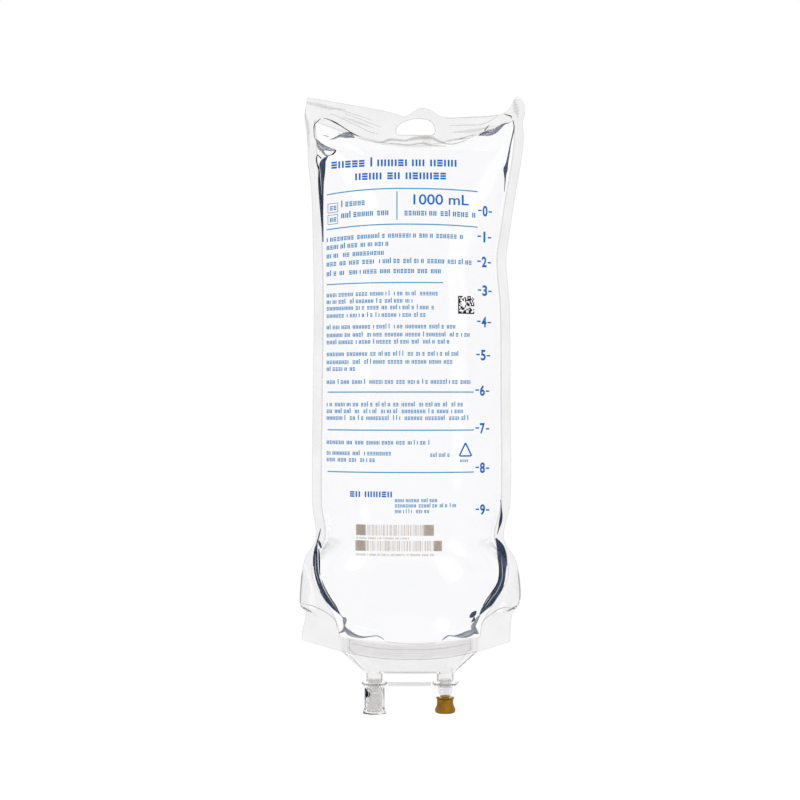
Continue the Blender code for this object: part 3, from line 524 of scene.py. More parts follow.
def smooth_through(stations, at, column=1):
    """The value at a position of a smooth curve through the stations, each (position, values...)."""
    if at <= stations[0][0]:
        return stations[0][column]
    if at >= stations[-1][0]:
        return stations[-1][column]
    last = len(stations) - 1
    i = max(k for k in range(last) if stations[k][0] <= at)

    def slope(k):
        before, after = stations[max(k - 1, 0)], stations[min(k + 1, last)]
        return (after[column] - before[column]) / (after[0] - before[0])

    span = stations[i + 1][0] - stations[i][0]
    t = (at - stations[i][0]) / span
    low, high = stations[i][column], stations[i + 1][column]
    return (
        (2 * t**3 - 3 * t**2 + 1) * low
        + (t**3 - 2 * t**2 + t) * span * slope(i)
        + (3 * t**2 - 2 * t**3) * high
        + (t**3 - t**2) * span * slope(i + 1)
    )


# Shader tools


def tree_of(name):
    made = bpy.data.materials.new(name)
    made.use_nodes = True
    tree = made.node_tree
    return made, tree, tree.nodes["Principled BSDF"]


def feed(tree, socket, value):
    """Wires a socket into another, or gives it a plain value: a number, a vector or a colour of three."""
    if isinstance(value, bpy.types.NodeSocket):
        tree.links.new(value, socket)
    else:
        socket.default_value = (*value, 1.0) if socket.type == "RGBA" else value


def give(tree, node, *inputs, **values):
    """Sets a node's properties and inputs by name, spaces as underscores, then feeds its first inputs."""
    for key, value in values.items():
        if hasattr(node, key):
            setattr(node, key, value)
        else:
            feed(tree, node.inputs[key.replace("_", " ")], value)
    for socket, value in zip(node.inputs, inputs):
        feed(tree, socket, value)


def add(tree, kind, *inputs, **values):
    node = tree.nodes.new(kind)
    give(tree, node, *inputs, **values)
    return node


def group_tree(name, inputs, output):
    """A shader group with named inputs and their plain values, None for a vector, and one number put out."""
    group = bpy.data.node_groups.new(name, "ShaderNodeTree")
    for label, value in inputs.items():
        kind = "NodeSocketVector" if value is None else "NodeSocketFloat"
        socket = group.interface.new_socket(label, in_out="INPUT", socket_type=kind)
        if value is not None:
            socket.default_value = value
    group.interface.new_socket(output, in_out="OUTPUT", socket_type="NodeSocketFloat")
    start, end = group.nodes.new("NodeGroupInput"), group.nodes.new("NodeGroupOutput")
    return group, start.outputs, end.inputs[output]


def make_mottle():
    """Soft uneven patches: a value between Low and High that drifts over the surface."""
    inputs = {"Vector": None, "Scale": 100.0, "Low": 0.0, "High": 1.0}
    group, given, end = group_tree("mottle", inputs, "Value")
    noise = add(
        group, "ShaderNodeTexNoise", Vector=given["Vector"], Scale=given["Scale"], Detail=4.0, Roughness=0.55
    )
    spread = add(group, "ShaderNodeMapRange", noise.outputs["Fac"], 0.32, 0.68, given["Low"], given["High"])
    feed(group, end, spread.outputs["Result"])
    return group


def make_band():
    """A mask that is 1 between two values and fades over a softness outside them."""
    inputs = {"Value": 0.0, "Start": 0.0, "End": 1.0, "Softness": 0.1}
    group, given, end = group_tree("band", inputs, "Mask")
    below = add(group, "ShaderNodeMath", given["Start"], given["Softness"], operation="SUBTRACT")
    above = add(group, "ShaderNodeMath", given["End"], given["Softness"], operation="ADD")
    rise, fall = (
        add(group, "ShaderNodeMapRange", given["Value"], low, high, interpolation_type="SMOOTHSTEP")
        for low, high in ((below.outputs[0], given["Start"]), (given["End"], above.outputs[0]))
    )
    both = add(group, "ShaderNodeMath", rise.outputs["Result"], fall.outputs["Result"], operation="SUBTRACT")
    feed(group, end, both.outputs[0])
    return group


MOTTLE = make_mottle()
BAND = make_band()


def mottle(tree, vector, scale, low=0.0, high=1.0):
    return add(tree, "ShaderNodeGroup", vector, scale, low, high, node_tree=MOTTLE).outputs["Value"]


def band(tree, value, start, end, softness):
    return add(tree, "ShaderNodeGroup", value, start, end, softness, node_tree=BAND).outputs["Mask"]


def mix_colour(tree, mask, low, high):
    """A colour that goes from low to high as the mask goes from 0 to 1. Each may be a colour or a socket."""
    node = add(tree, "ShaderNodeMix", mask, data_type="RGBA")
    feed(tree, node.inputs[6], low)
    feed(tree, node.inputs[7], high)
    return node.outputs[2]


def bump(tree, height, strength, distance):
    return add(tree, "ShaderNodeBump", Height=height, Strength=strength, Distance=distance).outputs["Normal"]


# Finishes


def film_finish():
    """Clear film, greyer and embossed where the two sheets are welded, with a fine grey line of painted shade
    along its cut edges. Its map holds the distances to the weld's inner edge and to the cut edge, ten units
    to a metre."""
    made, tree, shader = tree_of("clear_film")
    place = add(tree, "ShaderNodeTexCoord").outputs["Object"]
    split = add(tree, "ShaderNodeSeparateXYZ", add(tree, "ShaderNodeUVMap", uv_map="weld").outputs["UV"])
    outside, rim = split.outputs["X"], split.outputs["Y"]
    welded = add(tree, "ShaderNodeMapRange", outside, 0.0, 0.006, interpolation_type="SMOOTHSTEP")
    weld_colour = mix_colour(tree, mottle(tree, place, 38.0), (0.925, 0.92, 0.92), (0.96, 0.955, 0.957))
    lines = band(tree, outside, 0.001, 0.007, 0.004)
    line_colour = mix_colour(tree, lines, weld_colour, (0.84, 0.835, 0.845))
    # The grey line along the cut edges is painted shade, standing in for the dark the film's edge refracts.
    edges = band(tree, rim, -0.01, 0.0028, 0.002)
    cut_edge_shade_colour = mix_colour(tree, edges, line_colour, (0.87, 0.865, 0.87))
    give(
        tree,
        shader,
        Base_Color=mix_colour(tree, welded.outputs["Result"], (0.986, 0.986, 0.988), cut_edge_shade_colour),
        Roughness=mottle(tree, place, 120.0, 0.03, 0.09),
        Normal=bump(tree, mottle(tree, place, 55.0), 0.25, 0.0004),
        Transmission_Weight=1.0,
        IOR=1.25,
        Specular_IOR_Level=0.25,
    )
    return made


def mottled_finish(name, low, high, grain, gloss=None, gloss_grain=0.0, relief=None, **plain):
    """A finish whose colour drifts from low to high. Its roughness drifts between both values of gloss, and
    relief gives the grain, strength and height of a fine unevenness. Plain holds the shader's own values."""
    made, tree, shader = tree_of(name)
    place = add(tree, "ShaderNodeTexCoord").outputs["Object"]
    colour = mix_colour(tree, mottle(tree, place, grain), low, high)
    give(tree, shader, Base_Color=colour, **plain)
    if gloss:
        give(tree, shader, Roughness=mottle(tree, place, gloss_grain, *gloss))
    if relief:
        relief_grain, strength, height = relief
        give(tree, shader, Normal=bump(tree, mottle(tree, place, relief_grain), strength, height))
    return made


def saline_finish():
    colours = (0.975, 0.975, 0.992), (0.985, 0.985, 0.995)
    return mottled_finish("saline", *colours, 6.0, Roughness=0.0, Transmission_Weight=1.0, IOR=1.1)


def plastic_finish(name, low, high, transmission, ior, gloss, grain):
    """Clear or milky plastic with a flow pattern and an uneven gloss."""
    relief = grain, 0.15, 0.0002
    values = {"Transmission_Weight": transmission, "IOR": ior}
    return mottled_finish(name, low, high, grain, gloss, 4 * grain, relief, **values)


def rubber_finish():
    colours = (0.20, 0.09, 0.0), (0.36, 0.17, 0.001)
    relief = 1800.0, 0.15, 0.0001
    return mottled_finish("amber_rubber", *colours, 260.0, (0.4, 0.6), 900.0, relief, Specular_IOR_Level=0.2)


def ink_finish(name, low, high):
    """Printing ink, a little uneven where it lies on the film."""
    return mottled_finish(name, low, high, 700.0, (0.35, 0.55), 500.0, Specular_IOR_Level=0.1)


def streak_finish(name, deep, pale, solid, softness):
    """Painted reflection, shade or highlight: what a steep edge of the liquid, a fold of the film or a clear
    plastic shows, streaky along it and soft at both sides.
    """
    made, tree, shader = tree_of(name)
    where = add(tree, "ShaderNodeUVMap", uv_map="run").outputs["UV"]
    split = add(tree, "ShaderNodeSeparateXYZ", where)
    stretch = add(tree, "ShaderNodeMapping", where, Scale=(3.4, 0.8, 1.0))
    streak = mottle(tree, stretch.outputs["Vector"], 2.2)
    side = band(tree, split.outputs["Y"], softness, 1 - softness, softness)
    strength = add(tree, "ShaderNodeMath", side, solid, operation="MULTIPLY")
    colour = mix_colour(tree, streak, deep, pale)
    give(
        tree, shader, Base_Color=colour, Alpha=strength.outputs[0], Roughness=0.5, Specular_IOR_Level=0.02
    )
    return made


# Shape of the hanging bag


def share_down(height):
    """A height as a share of the chamber's, 0 at its top corners and 1 at the boat."""
    return (CORNER_TOP - height) / CHAMBER_HEIGHT


def centre_line(down):
    """Where the bag's middle is: the lower part hangs a little to the left of the slot."""
    return -TOP_LEAN * smooth_step(down / LEAN_SHARE)


def film_edge(side, down):
    """The film's left (-1) or right (1) edge."""
    draw = smooth_through(EDGE_DRAW, down, 1 if side < 0 else 2) * MM
    return centre_line(down) + side * (FILM_WIDTH / 2 - draw)


def chamber_edge(side, down):
    """The inner edge of the side weld, which turns in to the boat's tip over the corner height."""
    start = 1 - CORNER_HEIGHT / CHAMBER_HEIGHT
    wide = film_edge(side, min(down, 0.9)) - side * SEAM_WIDTH
    narrow = centre_line(down) + side * (BOAT_HALF_LENGTH + BOAT_TIP_GAP)
    turn = min(max((down - start) / (1 - start), 0.0), 1.0)
    return narrow + (wide - narrow) * (1 + math.cos(math.pi * turn)) / 2


def chamber_depth(down):
    """Half the filled chamber's depth on its middle line."""
    below_weld = down * CHAMBER_HEIGHT - TOP_WELD_SAG
    rise = math.sin(math.pi / 2 * min(max(below_weld / TOP_RISE, 0.0), 1.0)) ** 0.6
    swell = 0.9 + 0.1 * smooth_step(down)
    taper = smooth_step((1 - down) * CHAMBER_HEIGHT / BOTTOM_TAPER)
    at_boat = BOAT_HALF_DEPTH + SEAT_GAP
    return at_boat + (CHAMBER_DEPTH * rise * swell - at_boat) * taper


def lens(share):
    """The chamber's cross-section: 1 at the middle and 0 at both side welds."""
    return max(1 - abs(share) ** SECTION_POWER, 0.0)


def top_sag(share):
    return TOP_WELD_SAG * max(1 - abs(share) ** TOP_WELD_POWER, 0.0)


def boat_sag(share):
    return BOAT_SAG * max(1 - share * share, 0.0)


def share_across(column):
    """Columns as shares of the half width, closer together towards the sides."""
    return -math.cos(math.pi * column / SECTION_COLUMNS)


def weld_sag_left(down):
    """How much of the top weld's sag is left at a place down the chamber."""
    return 1 - smooth_step(down / 0.3)


def chamber_height(share, down):
    boat = boat_sag(share) * smooth_step((down - 0.8) / 0.2)
    return CORNER_TOP - down * CHAMBER_HEIGHT - top_sag(share) * weld_sag_left(down) - boat


def chamber_x(share, down):
    left, right = chamber_edge(-1, down), chamber_edge(1, down)
    return (left + right) / 2 + share * (right - left) / 2


def ridge(x, z, ridges):
    """Height of soft ridges pressed into the film at a place, fading to their ends."""
    total = 0.0
    for (x1, z1), (x2, z2), width, height in ridges:
        ax, az, bx, bz = x1 * MM, z1 * MM, x2 * MM, z2 * MM
        run, rise = bx - ax, bz - az
        along = ((x - ax) * run + (z - az) * rise) / (run * run + rise * rise)
        if -0.2 < along < 1.2:
            off = ((x - ax) * rise - (z - az) * run) / math.hypot(run, rise) / (width * MM)
            fade = smooth_step((along + 0.2) / 0.4) * smooth_step((1.2 - along) / 0.4)
            total += height * MM * math.exp(-off * off) * fade
    return total


def half_gap(share, down):
    """Half the distance between the two sheets, with the dents of the hanging bag."""
    sag = TOP_WELD_SAG / CHAMBER_HEIGHT * weld_sag_left(down)
    gap = chamber_depth(down + sag) * lens(share)
    dent = ridge(chamber_x(share, down), chamber_height(share, down), CHAMBER_RIDGES)
    return max(gap + dent * min(gap / (4 * MM), 1.0), 0.0)


def top_edge(x):
    """Height of the film's cut top edge, with the arch of the hang tab."""
    half = FILM_WIDTH / 2
    left = [(half * share, height * MM) for share, height in TOP_EDGE_LEFT]
    right = [(half * share, height * MM) for share, height in TOP_EDGE_RIGHT]
    base = (left[-1][1] + right[0][1]) / 2
    t = (x - TAB_CENTRE) / (TAB_WIDTH / 2)
    if x <= left[-1][0]:
        return smooth_through(left, x)
    if x >= right[0][0]:
        return smooth_through(right, x)
    return base + TAB_RISE * math.cos(math.pi * min(max(t, -1.0), 1.0) / 2) ** 1.3


def loose_film(x, height, margin):
    """Forward curl of the welded film at a place, and how far its ear fold draws it towards the middle. The
    margin goes from 0 at the weld to 1 at the cut edge."""
    down = share_down(height)
    crease = EAR_FOLD_OUTER + (1 - margin) * (EAR_FOLD_INNER - EAR_FOLD_OUTER)
    t = (crease - height) / EAR_FOLD_SPAN
    below = smooth_step(t)
    ear = smooth_step((down - 0.83) / 0.1) * (1 - below)
    tuck = below * (1 - 0.6 * smooth_step((down - 0.97) / 0.05))
    corner = LEFT_CORNER_CURL if x < 0 else RIGHT_CORNER_CURL
    reach = min(abs(x) / (FILM_WIDTH / 2), 1.0) ** 6
    top = corner * reach * smooth_step((height + 6 * MM) / (18 * MM))
    notch = EAR_NOTCH * below * (1 - smooth_step((t - 0.6) / 4)) * margin if x < 0 else 0.0
    return (EAR_CURL * ear - EAR_TUCK * tuck) * margin * margin + top, notch


class FilmPoint:
    """A point of the sheets' middle surface, half the gap there, and its distances to weld and cut edge."""

    def __init__(self, x, z, gap, margin, outside, rim):
        curl, notch = loose_film(x, z, margin)
        loose = ridge(x, z, STRIP_RIDGES) if outside > 0 else 0.0
        self.place = Vector((x - math.copysign(notch, x), -curl - loose, z))
        self.gap = gap
        self.outside = outside
        self.rim = rim


def film_rows():
    """The sheets' points, row by row from the cut top edge to the foot of the weld band."""
    shares = [share_across(i) for i in range(SECTION_COLUMNS + 1)]

    def with_margins(inside, down, rises, outside_at_least, rim_at_most):
        row = [(x, z, gap, 0.0, outside, rim_at_most) for x, z, gap, outside in inside]
        for side, rise in zip((-1, 1), rises):
            x, z = (inside[0] if side < 0 else inside[-1])[:2]
            edge = film_edge(side, down)
            for i in range(1, MARGIN_COLUMNS + 1):
                m = i / MARGIN_COLUMNS
                reach = abs(edge - x)
                outside, rim = max(reach * m, outside_at_least), min(reach * (1 - m), rim_at_most)
                point = (x + (edge - x) * m, z + rise * m, 0.0, m, outside, rim)
                row = [point] + row if side < 0 else row + [point]
        return row

    def chamber_row(down):
        inside = [(chamber_x(s, down), chamber_height(s, down), half_gap(s, down)) for s in shares]
        left, right = inside[0][0], inside[-1][0]
        inside = [(x, z, gap, -min(x - left, right - x, down * CHAMBER_HEIGHT)) for x, z, gap in inside]
        return with_margins(inside, down, (0, 0), 0.0, 1.0)

    weld = chamber_row(0.0)
    rows = []
    for i in range(STRIP_ROWS):
        up = 1 - i / STRIP_ROWS
        down = -up * STRIP_HEIGHT / CHAMBER_HEIGHT
        left, right = film_edge(-1, down), film_edge(1, down)
        row = []
        for x, z, _, margin, outside, rim in weld:
            across = (x - weld[0][0]) / (weld[-1][0] - weld[0][0])
            place = x + (left + (right - left) * across - x) * up
            top = top_edge(place)
            height = z + (top - z) * up
            row.append((place, height, 0.0, margin, max(outside, height - z), min(rim, top - height)))
        rows.append(row)
    rows += [chamber_row(i / CHAMBER_ROWS) for i in range(CHAMBER_ROWS + 1)]
    gap = BOAT_HALF_DEPTH + SEAT_GAP
    for i in range(1, BAND_ROWS + 1):
        drop = BOAT_BAND * i / BAND_ROWS
        inside = [(chamber_x(s, 1.0), BOAT_TOP - boat_sag(s) - drop, gap * lens(s), drop) for s in shares]
        rises = [rise * i / BAND_ROWS for rise in (LEFT_EAR_RISE, RIGHT_EAR_RISE)]
        rows.append(with_margins(inside, 1 + drop / CHAMBER_HEIGHT, rises, drop, BOAT_BAND - drop))
    return [[FilmPoint(*point) for point in row] for row in rows]


def middle_normal(rows, r, c):
    """The middle surface's normal at a point of the rows, on its back side (+Y where it is upright)."""
    above, below = rows[max(r - 1, 0)][c].place, rows[min(r + 1, len(rows) - 1)][c].place
    left, right = rows[r][max(c - 1, 0)].place, rows[r][min(c + 1, len(rows[r]) - 1)].place
    return (right - left).cross(below - above).normalized()


def film_sheet(name, side, rows):
    """One sheet of film as a fine surface with its folds, thickened outwards."""

    def place(c, r):
        point = rows[r][c]
        seat = side * middle_normal(rows, r, c) * (SEAT_GAP / 2)
        return point.place + seat + Vector((0, side * point.gap, 0))

    def marks(c, r):
        return rows[r][c].outside * MAP_UNITS, rows[r][c].rim * MAP_UNITS

    obj = mapped_grid(name, len(rows[0]) - 1, len(rows) - 1, place, marks, "weld")
    face_front(obj)
    if side > 0:
        obj.data.flip_normals()
    thicken(obj, FILM_THICKNESS, 1.0)
    return obj


def slot_outline():
    """The slot's outline in (x, z) points from its left foot: flat below, arched up to the origin above."""
    half, spring = SLOT_WIDTH / 2, SLOT_CORNER - SLOT_HEIGHT
    left = []
    for i in range(7):
        turn = math.radians(180 + 15 * i)
        x, z = SLOT_CORNER * math.cos(turn), SLOT_CORNER * math.sin(turn)
        left.append((-half + SLOT_CORNER + x, spring + z))
    crown = []
    for i in range(1, 28):
        turn = math.pi * i / 28
        lean = SLOT_LEAN * math.sin(turn) ** 2
        crown.append((half * math.cos(turn) + lean, spring - spring * math.sin(turn) ** 0.9))
    return left + [(-x, z) for x, z in reversed(left)] + crown


# Closed forms


def lens_front(half_length, half_depth, height):
    """The front half of a lens-shaped ring, left to right."""
    shares = [share_across(i) for i in range(SECTION_COLUMNS + 1)]
    middle = centre_line(1.0)
    return [(middle + s * half_length, -half_depth * lens(s), height - boat_sag(s)) for s in shares]


def stadium_front(half_length, radius, height):
    """The front half of a ring with straight sides and round ends, left to right."""
    front = []
    for i in range(SECTION_COLUMNS + 1):
        x = share_across(i) * half_length
        past = max(abs(x) - (half_length - radius), 0.0)
        front.append((centre_line(1.0) + x, -math.sqrt(max(radius * radius - past * past, 0.0)), height))
    return front


def loft(name, fronts):
    """A closed solid through rings given by their front halves: front, back, lid and floor, merged."""
    columns, last = len(fronts[0]) - 1, len(fronts) - 1

    def point(row, column, side):
        x, y, z = fronts[row][column]
        return x, side * y, z

    pieces = [mapped_grid(name, columns, last, lambda c, r: point(r, c, side)) for side in (1, -1)]
    pieces += [mapped_grid(name, columns, 1, lambda c, r: point(row, c, 1 - 2 * r)) for row in (0, last)]
    return close_up(join(name, pieces))


def port_x(side):
    return centre_line(1.0) + side * PORT_SPACING / 2


def stepped(radius, height, *turns):
    """A profile of straight steps from its first point: each further value is the next radius, then the next
    height, and so on by turns."""
    profile = [(radius, height)]
    for i, value in enumerate(turns):
        radius, height = (radius, value) if i % 2 else (value, height)
        profile.append((radius, height))
    return profile


def turned(name, profile, x, rounding=0.0):
    """A turned piece on a port's upright axis. The profile is (radius, height) points, closed on themselves
    or starting and ending on the axis."""
    tiny = 0.01 * MM
    path = [(max(radius, tiny), height) for radius, height in profile]
    if profile[0][0] > 0:
        path.append(path[0])
    deselect_all()
    bpy.ops.mesh.primitive_circle_add(vertices=TURNED_SIDES, radius=path[0][0], location=(x, 0, path[0][1]))
    obj = bpy.context.object
    obj.name = name
    settle(obj)
    edit_all(obj)
    for (radius, height), (next_radius, next_height) in zip(path, path[1:]):
        bpy.ops.mesh.extrude_region_move(TRANSFORM_OT_translate={"value": (0, 0, next_height - height)})
        grow = next_radius / radius
        bpy.ops.transform.resize(value=(grow, grow, 1), center_override=(x, 0, next_height))
    bpy.ops.object.mode_set(mode="OBJECT")
    close_up(obj, 1.2 * tiny)
    if rounding:
        modify(obj, "BEVEL", width=rounding, segments=3, limit_method="ANGLE", angle_limit=ROUNDED_ANGLE)
    return obj


def plate(name, outline, thickness):
    """A flat plate with an (x, z) outline, centred on the bag's middle plane."""
    obj = flat_face(name, outline, -thickness / 2)
    bpy.ops.mesh.extrude_region_move(TRANSFORM_OT_translate={"value": (0, thickness, 0)})
    bpy.ops.object.mode_set(mode="OBJECT")
    return close_up(obj)


def saline():
    """The liquid under the film, down through the boat and into both ports, flat at the top."""
    fronts = []
    for i in range(2, CHAMBER_ROWS - 2):
        down = i / CHAMBER_ROWS
        left, right = chamber_edge(-1, down), chamber_edge(1, down)
        middle, half = (left + right) / 2, (right - left) / 2 - 2.5 * SEAT_GAP
        front = []
        for c in range(SECTION_COLUMNS + 1):
            s = share_across(c)
            depth = max(half_gap(s, down) - 1.2 * SEAT_GAP, 0.0) if 0 < c < SECTION_COLUMNS else 0.0
            front.append((middle + s * half, -depth, chamber_height(s, down)))
        fronts.append(front)
    inset = FUNNEL_WALL + SEAT_GAP
    for height in (BOAT_TOP - SEAT_GAP, BOAT_BOTTOM + BOAT_BAND / 4):
        fronts.append(lens_front(BOAT_HALF_LENGTH - 2.4 * inset, BOAT_HALF_DEPTH - inset, height))
    foot = FUNNEL_BOTTOM + FUNNEL_FLOOR + SEAT_GAP
    fronts.append(stadium_front(PORT_SPACING / 2 + TUBE_RADIUS - inset, TUBE_BORE - SEAT_GAP, foot))
    obj = loft("saline_in_bag", fronts)
    for side, end in ((-1, SET_MEMBRANE_TOP), (1, SEPTUM_PLUG_TOP)):
        wide, narrow = TUBE_BORE - SEAT_GAP, INSERT_BORE - SEAT_GAP
        profile = stepped(0, foot + 2 * MM, wide, SPIGOT_TOP + SEAT_GAP, narrow, end + SEAT_GAP, 0)
        boolean(obj, turned("column", profile, port_x(side)), "UNION")
    edit_all(obj)
    bpy.ops.mesh.bisect(plane_co=(0, 0, -LIQUID_LEVEL), plane_no=(0, 0, 1), clear_outer=True, use_fill=True)
    bpy.ops.object.mode_set(mode="OBJECT")
    return obj


def port_moulding():
    """The moulding: ribbed weld band, hollow funnel, two port tubes with flanges, the bar and its gussets."""
    fronts = []
    for i in range(4 * WELD_RIBS + 1):
        inset = WELD_RIB_HEIGHT * (i // 2 % 2)
        height = BOAT_TOP - SEAT_GAP - (BOAT_BAND - SEAT_GAP) * i / (4 * WELD_RIBS)
        fronts.append(lens_front(BOAT_HALF_LENGTH, BOAT_HALF_DEPTH - inset, height))
    fronts.append(stadium_front(PORT_SPACING / 2 + TUBE_RADIUS, TUBE_RADIUS, FUNNEL_BOTTOM))
    obj = loft("port_boat", fronts)
    overlap = 1.5 * MM
    for side in (-1, 1):
        rim = FLANGE_TOP - FLANGE_RIM
        profile = stepped(0, FUNNEL_BOTTOM + overlap, TUBE_RADIUS, FLANGE_TOP, FLANGE_RADIUS, rim)
        profile += [(TUBE_RADIUS + 0.35 * MM, FLANGE_BOTTOM), (0, FLANGE_BOTTOM)]
        boolean(obj, turned("port", profile, port_x(side), rounding=0.35 * MM), "UNION")
    reach = PORT_SPACING / 2 - TUBE_RADIUS + 0.6 * MM
    left, right = centre_line(1.0) - reach, centre_line(1.0) + reach
    top, foot = FLANGE_TOP - 0.2 * MM, FLANGE_TOP - BAR_HEIGHT
    boolean(obj, plate("bar", [(left, top), (left, foot), (right, foot), (right, top)], BAR_DEPTH), "UNION")
    for side, fitted in ((-1, PROTECTOR_OUTER), (1, MED_COLLAR_RADIUS)):
        inner, centre = fitted + 1.5 * SEAT_GAP, MED_COLLAR_RADIUS + 1.5 * SEAT_GAP
        head, last = FLANGE_BOTTOM + BAR_HEIGHT / 2, -math.acos((inner - centre) / GUSSET_RADIUS)
        outline = [(inner, head)]
        for i in range(11):
            turn = last * (1 - i / 10)
            x, z = GUSSET_RADIUS * math.cos(turn), GUSSET_RADIUS * math.sin(turn)
            outline.append((centre + x, FLANGE_BOTTOM + z))
        outline.append((centre + GUSSET_RADIUS, head))
        placed = [(port_x(side) - side * x, z) for x, z in outline]
        boolean(obj, plate("gusset", placed, GUSSET_THICKNESS), "UNION")
    floor = FUNNEL_BOTTOM + FUNNEL_FLOOR
    hollow = [
        lens_front(BOAT_HALF_LENGTH - 2.4 * FUNNEL_WALL, BOAT_HALF_DEPTH - FUNNEL_WALL, height)
        for height in (BOAT_TOP + overlap, BOAT_BOTTOM)
    ]
    hollow.append(stadium_front(PORT_SPACING / 2 + TUBE_RADIUS - FUNNEL_WALL, TUBE_BORE, floor))
    boolean(obj, loft("hollow", hollow), "DIFFERENCE")
    for side in (-1, 1):
        profile = stepped(0, floor + overlap, TUBE_BORE, FLANGE_BOTTOM - overlap, 0)
        boolean(obj, turned("bore", profile, port_x(side)), "DIFFERENCE")
    return obj


def spike_tube():
    """Clear spike tube: a spigot in the port's bore, a membrane to pierce and a socket open downwards."""
    spigot = stepped(0, SET_MEMBRANE_TOP, INSERT_BORE, SPIGOT_TOP, SPIGOT_RADIUS, INSERT_TOP)
    barrel = stepped(SET_BARREL_RADIUS, INSERT_TOP)
    socket = stepped(SET_BARREL_RADIUS, SET_MOUTH, SET_SOCKET_RADIUS, SET_MEMBRANE_TOP - SET_MEMBRANE, 0)
    return turned("spike_tube", spigot + barrel + socket, port_x(-1), rounding=0.2 * MM)


def protector():
    """Clear cap over the spike tube, closed at its flared foot, which the fingers pull."""
    floor_top = SET_MOUTH - SEAT_GAP
    top = INSERT_TOP - SEAT_GAP
    foot = floor_top - PROTECTOR_FLOOR
    flare = foot + PROTECTOR_FOOT_HEIGHT
    profile = stepped(0, floor_top, PROTECTOR_INNER, top, PROTECTOR_OUTER)
    for i in range(11):
        t = i / 10
        height = flare + 1.2 * MM - (PROTECTOR_FOOT_HEIGHT + 0.1 * MM) * t
        profile.append((PROTECTOR_OUTER + (PROTECTOR_FOOT_RADIUS - PROTECTOR_OUTER) * t**2.2, height))
    profile.append((PROTECTOR_FOOT_RADIUS - 0.05 * MM, foot + 0.5 * MM))
    profile += stepped(PROTECTOR_FOOT_RADIUS - 0.6 * MM, foot, 0)
    return turned("pull_off_protector", profile, port_x(-1), rounding=0.12 * MM)


def needle_tube():
    """Clear tube of the medication port: a spigot in the bore, a collar under the flange and a plain end."""
    profile = stepped(INSERT_BORE, SPIGOT_TOP, SPIGOT_RADIUS, INSERT_TOP, MED_COLLAR_RADIUS)
    profile += [
        (MED_COLLAR_RADIUS + 0.15 * MM, INSERT_TOP - 0.45 * MED_COLLAR_LENGTH),
        (MED_COLLAR_RADIUS - 0.2 * MM, INSERT_TOP - 0.7 * MED_COLLAR_LENGTH),
        (MED_TUBE_RADIUS, INSERT_TOP - MED_COLLAR_LENGTH),
    ]
    profile += stepped(MED_TUBE_RADIUS, MED_END, INSERT_BORE)
    return turned("needle_port_tube", profile, port_x(1), rounding=0.15 * MM)


def septum():
    """Amber rubber sleeve stopper: a skirt rolled down over the tube and a plug up its bore, to pierce."""
    inner = MED_TUBE_RADIUS + SEAT_GAP
    outer = inner + SEPTUM_WALL
    plug = INSERT_BORE - SEAT_GAP
    groove = MED_END - SEAT_GAP
    rim = groove + SEPTUM_SKIRT
    foot = groove - SEPTUM_NOSE
    bulge = foot + 0.95 * SEPTUM_NOSE
    rising = [
        (foot, SEPTUM_BULGE_RADIUS - 1.3 * MM),
        (foot + 0.55 * MM, SEPTUM_BULGE_RADIUS - 0.35 * MM),
        (bulge, SEPTUM_BULGE_RADIUS),
        (bulge + 0.6 * MM, SEPTUM_BULGE_RADIUS - 0.1 * MM),
        (bulge + 1.9 * MM, outer + 0.35 * MM),
        (rim - 0.5 * SEPTUM_SKIRT, outer - 0.1 * MM),
        (rim - 1.1 * MM, outer),
        (rim - 0.35 * MM, outer + SEPTUM_LIP),
        (rim, outer + SEPTUM_LIP - 0.15 * MM),
    ]
    profile = [
        (0, SEPTUM_PLUG_TOP),
        (0.6 * plug, SEPTUM_PLUG_TOP - 0.25 * MM),
        (plug, SEPTUM_PLUG_TOP - 1.1 * MM),
    ]
    profile += stepped(plug, groove, inner, rim)
    for i in range(29):
        height = rim + (foot - rim) * i / 28
        profile.append((smooth_through(rising, height), height))
    profile.append((0, foot))
    return turned("needle_septum", profile, port_x(1))


# Things laid on the film


def surface_of(obj):
    mesh = obj.data
    return BVHTree.FromPolygons([v.co[:] for v in mesh.vertices], [p.vertices[:] for p in mesh.polygons])


def laid(surface, x, z, lift):
    """A point over the front of a surface at (x, z), lifted off it, or sunk under it by a negative lift."""
    hit, normal, _, _ = surface.ray_cast(Vector((x, RAY_START, z)), Vector((0, 1, 0)))
    if hit is None:
        hit, normal, _, _ = surface.find_nearest(Vector((x, NEAR_FRONT, z)))
    if normal.y > 0:
        normal = -normal
    return hit + normal * lift


def ribbon(name, surface, stations, lift):
    """A thin strip that follows a surface through stations of (x, z, width) in millimetres."""
    stations = [(x * MM, z * MM, width * MM) for x, z, width in stations]
    runs = [0.0]
    for a, b in zip(stations, stations[1:]):
        runs.append(runs[-1] + math.hypot(b[0] - a[0], b[1] - a[1]))
    keyed = [(run, *station) for run, station in zip(runs, stations)]
    count = max(int(runs[-1] / RIBBON_STEP), 4)
    path = []
    for i in range(count + 1):
        run = runs[-1] * i / count
        path.append(tuple(smooth_through(keyed, run, column) for column in (1, 2, 3)) + (run,))

    def place(c, r):
        x, z, width, _ = path[c]
        before, after = path[max(c - 1, 0)], path[min(c + 1, count)]
        dx, dz = after[0] - before[0], after[1] - before[1]
        length = math.hypot(dx, dz) or 1.0
        off = max(width, 0.02 * MM) * (0.5 - r / RIBBON_ROWS)
        return laid(surface, x - dz / length * off, z + dx / length * off, lift)

    marks = [run * MAP_UNITS for _, _, _, run in path]
    return face_front(mapped_grid(name, count, RIBBON_ROWS, place, lambda c, r: (marks[c], r / RIBBON_ROWS)))


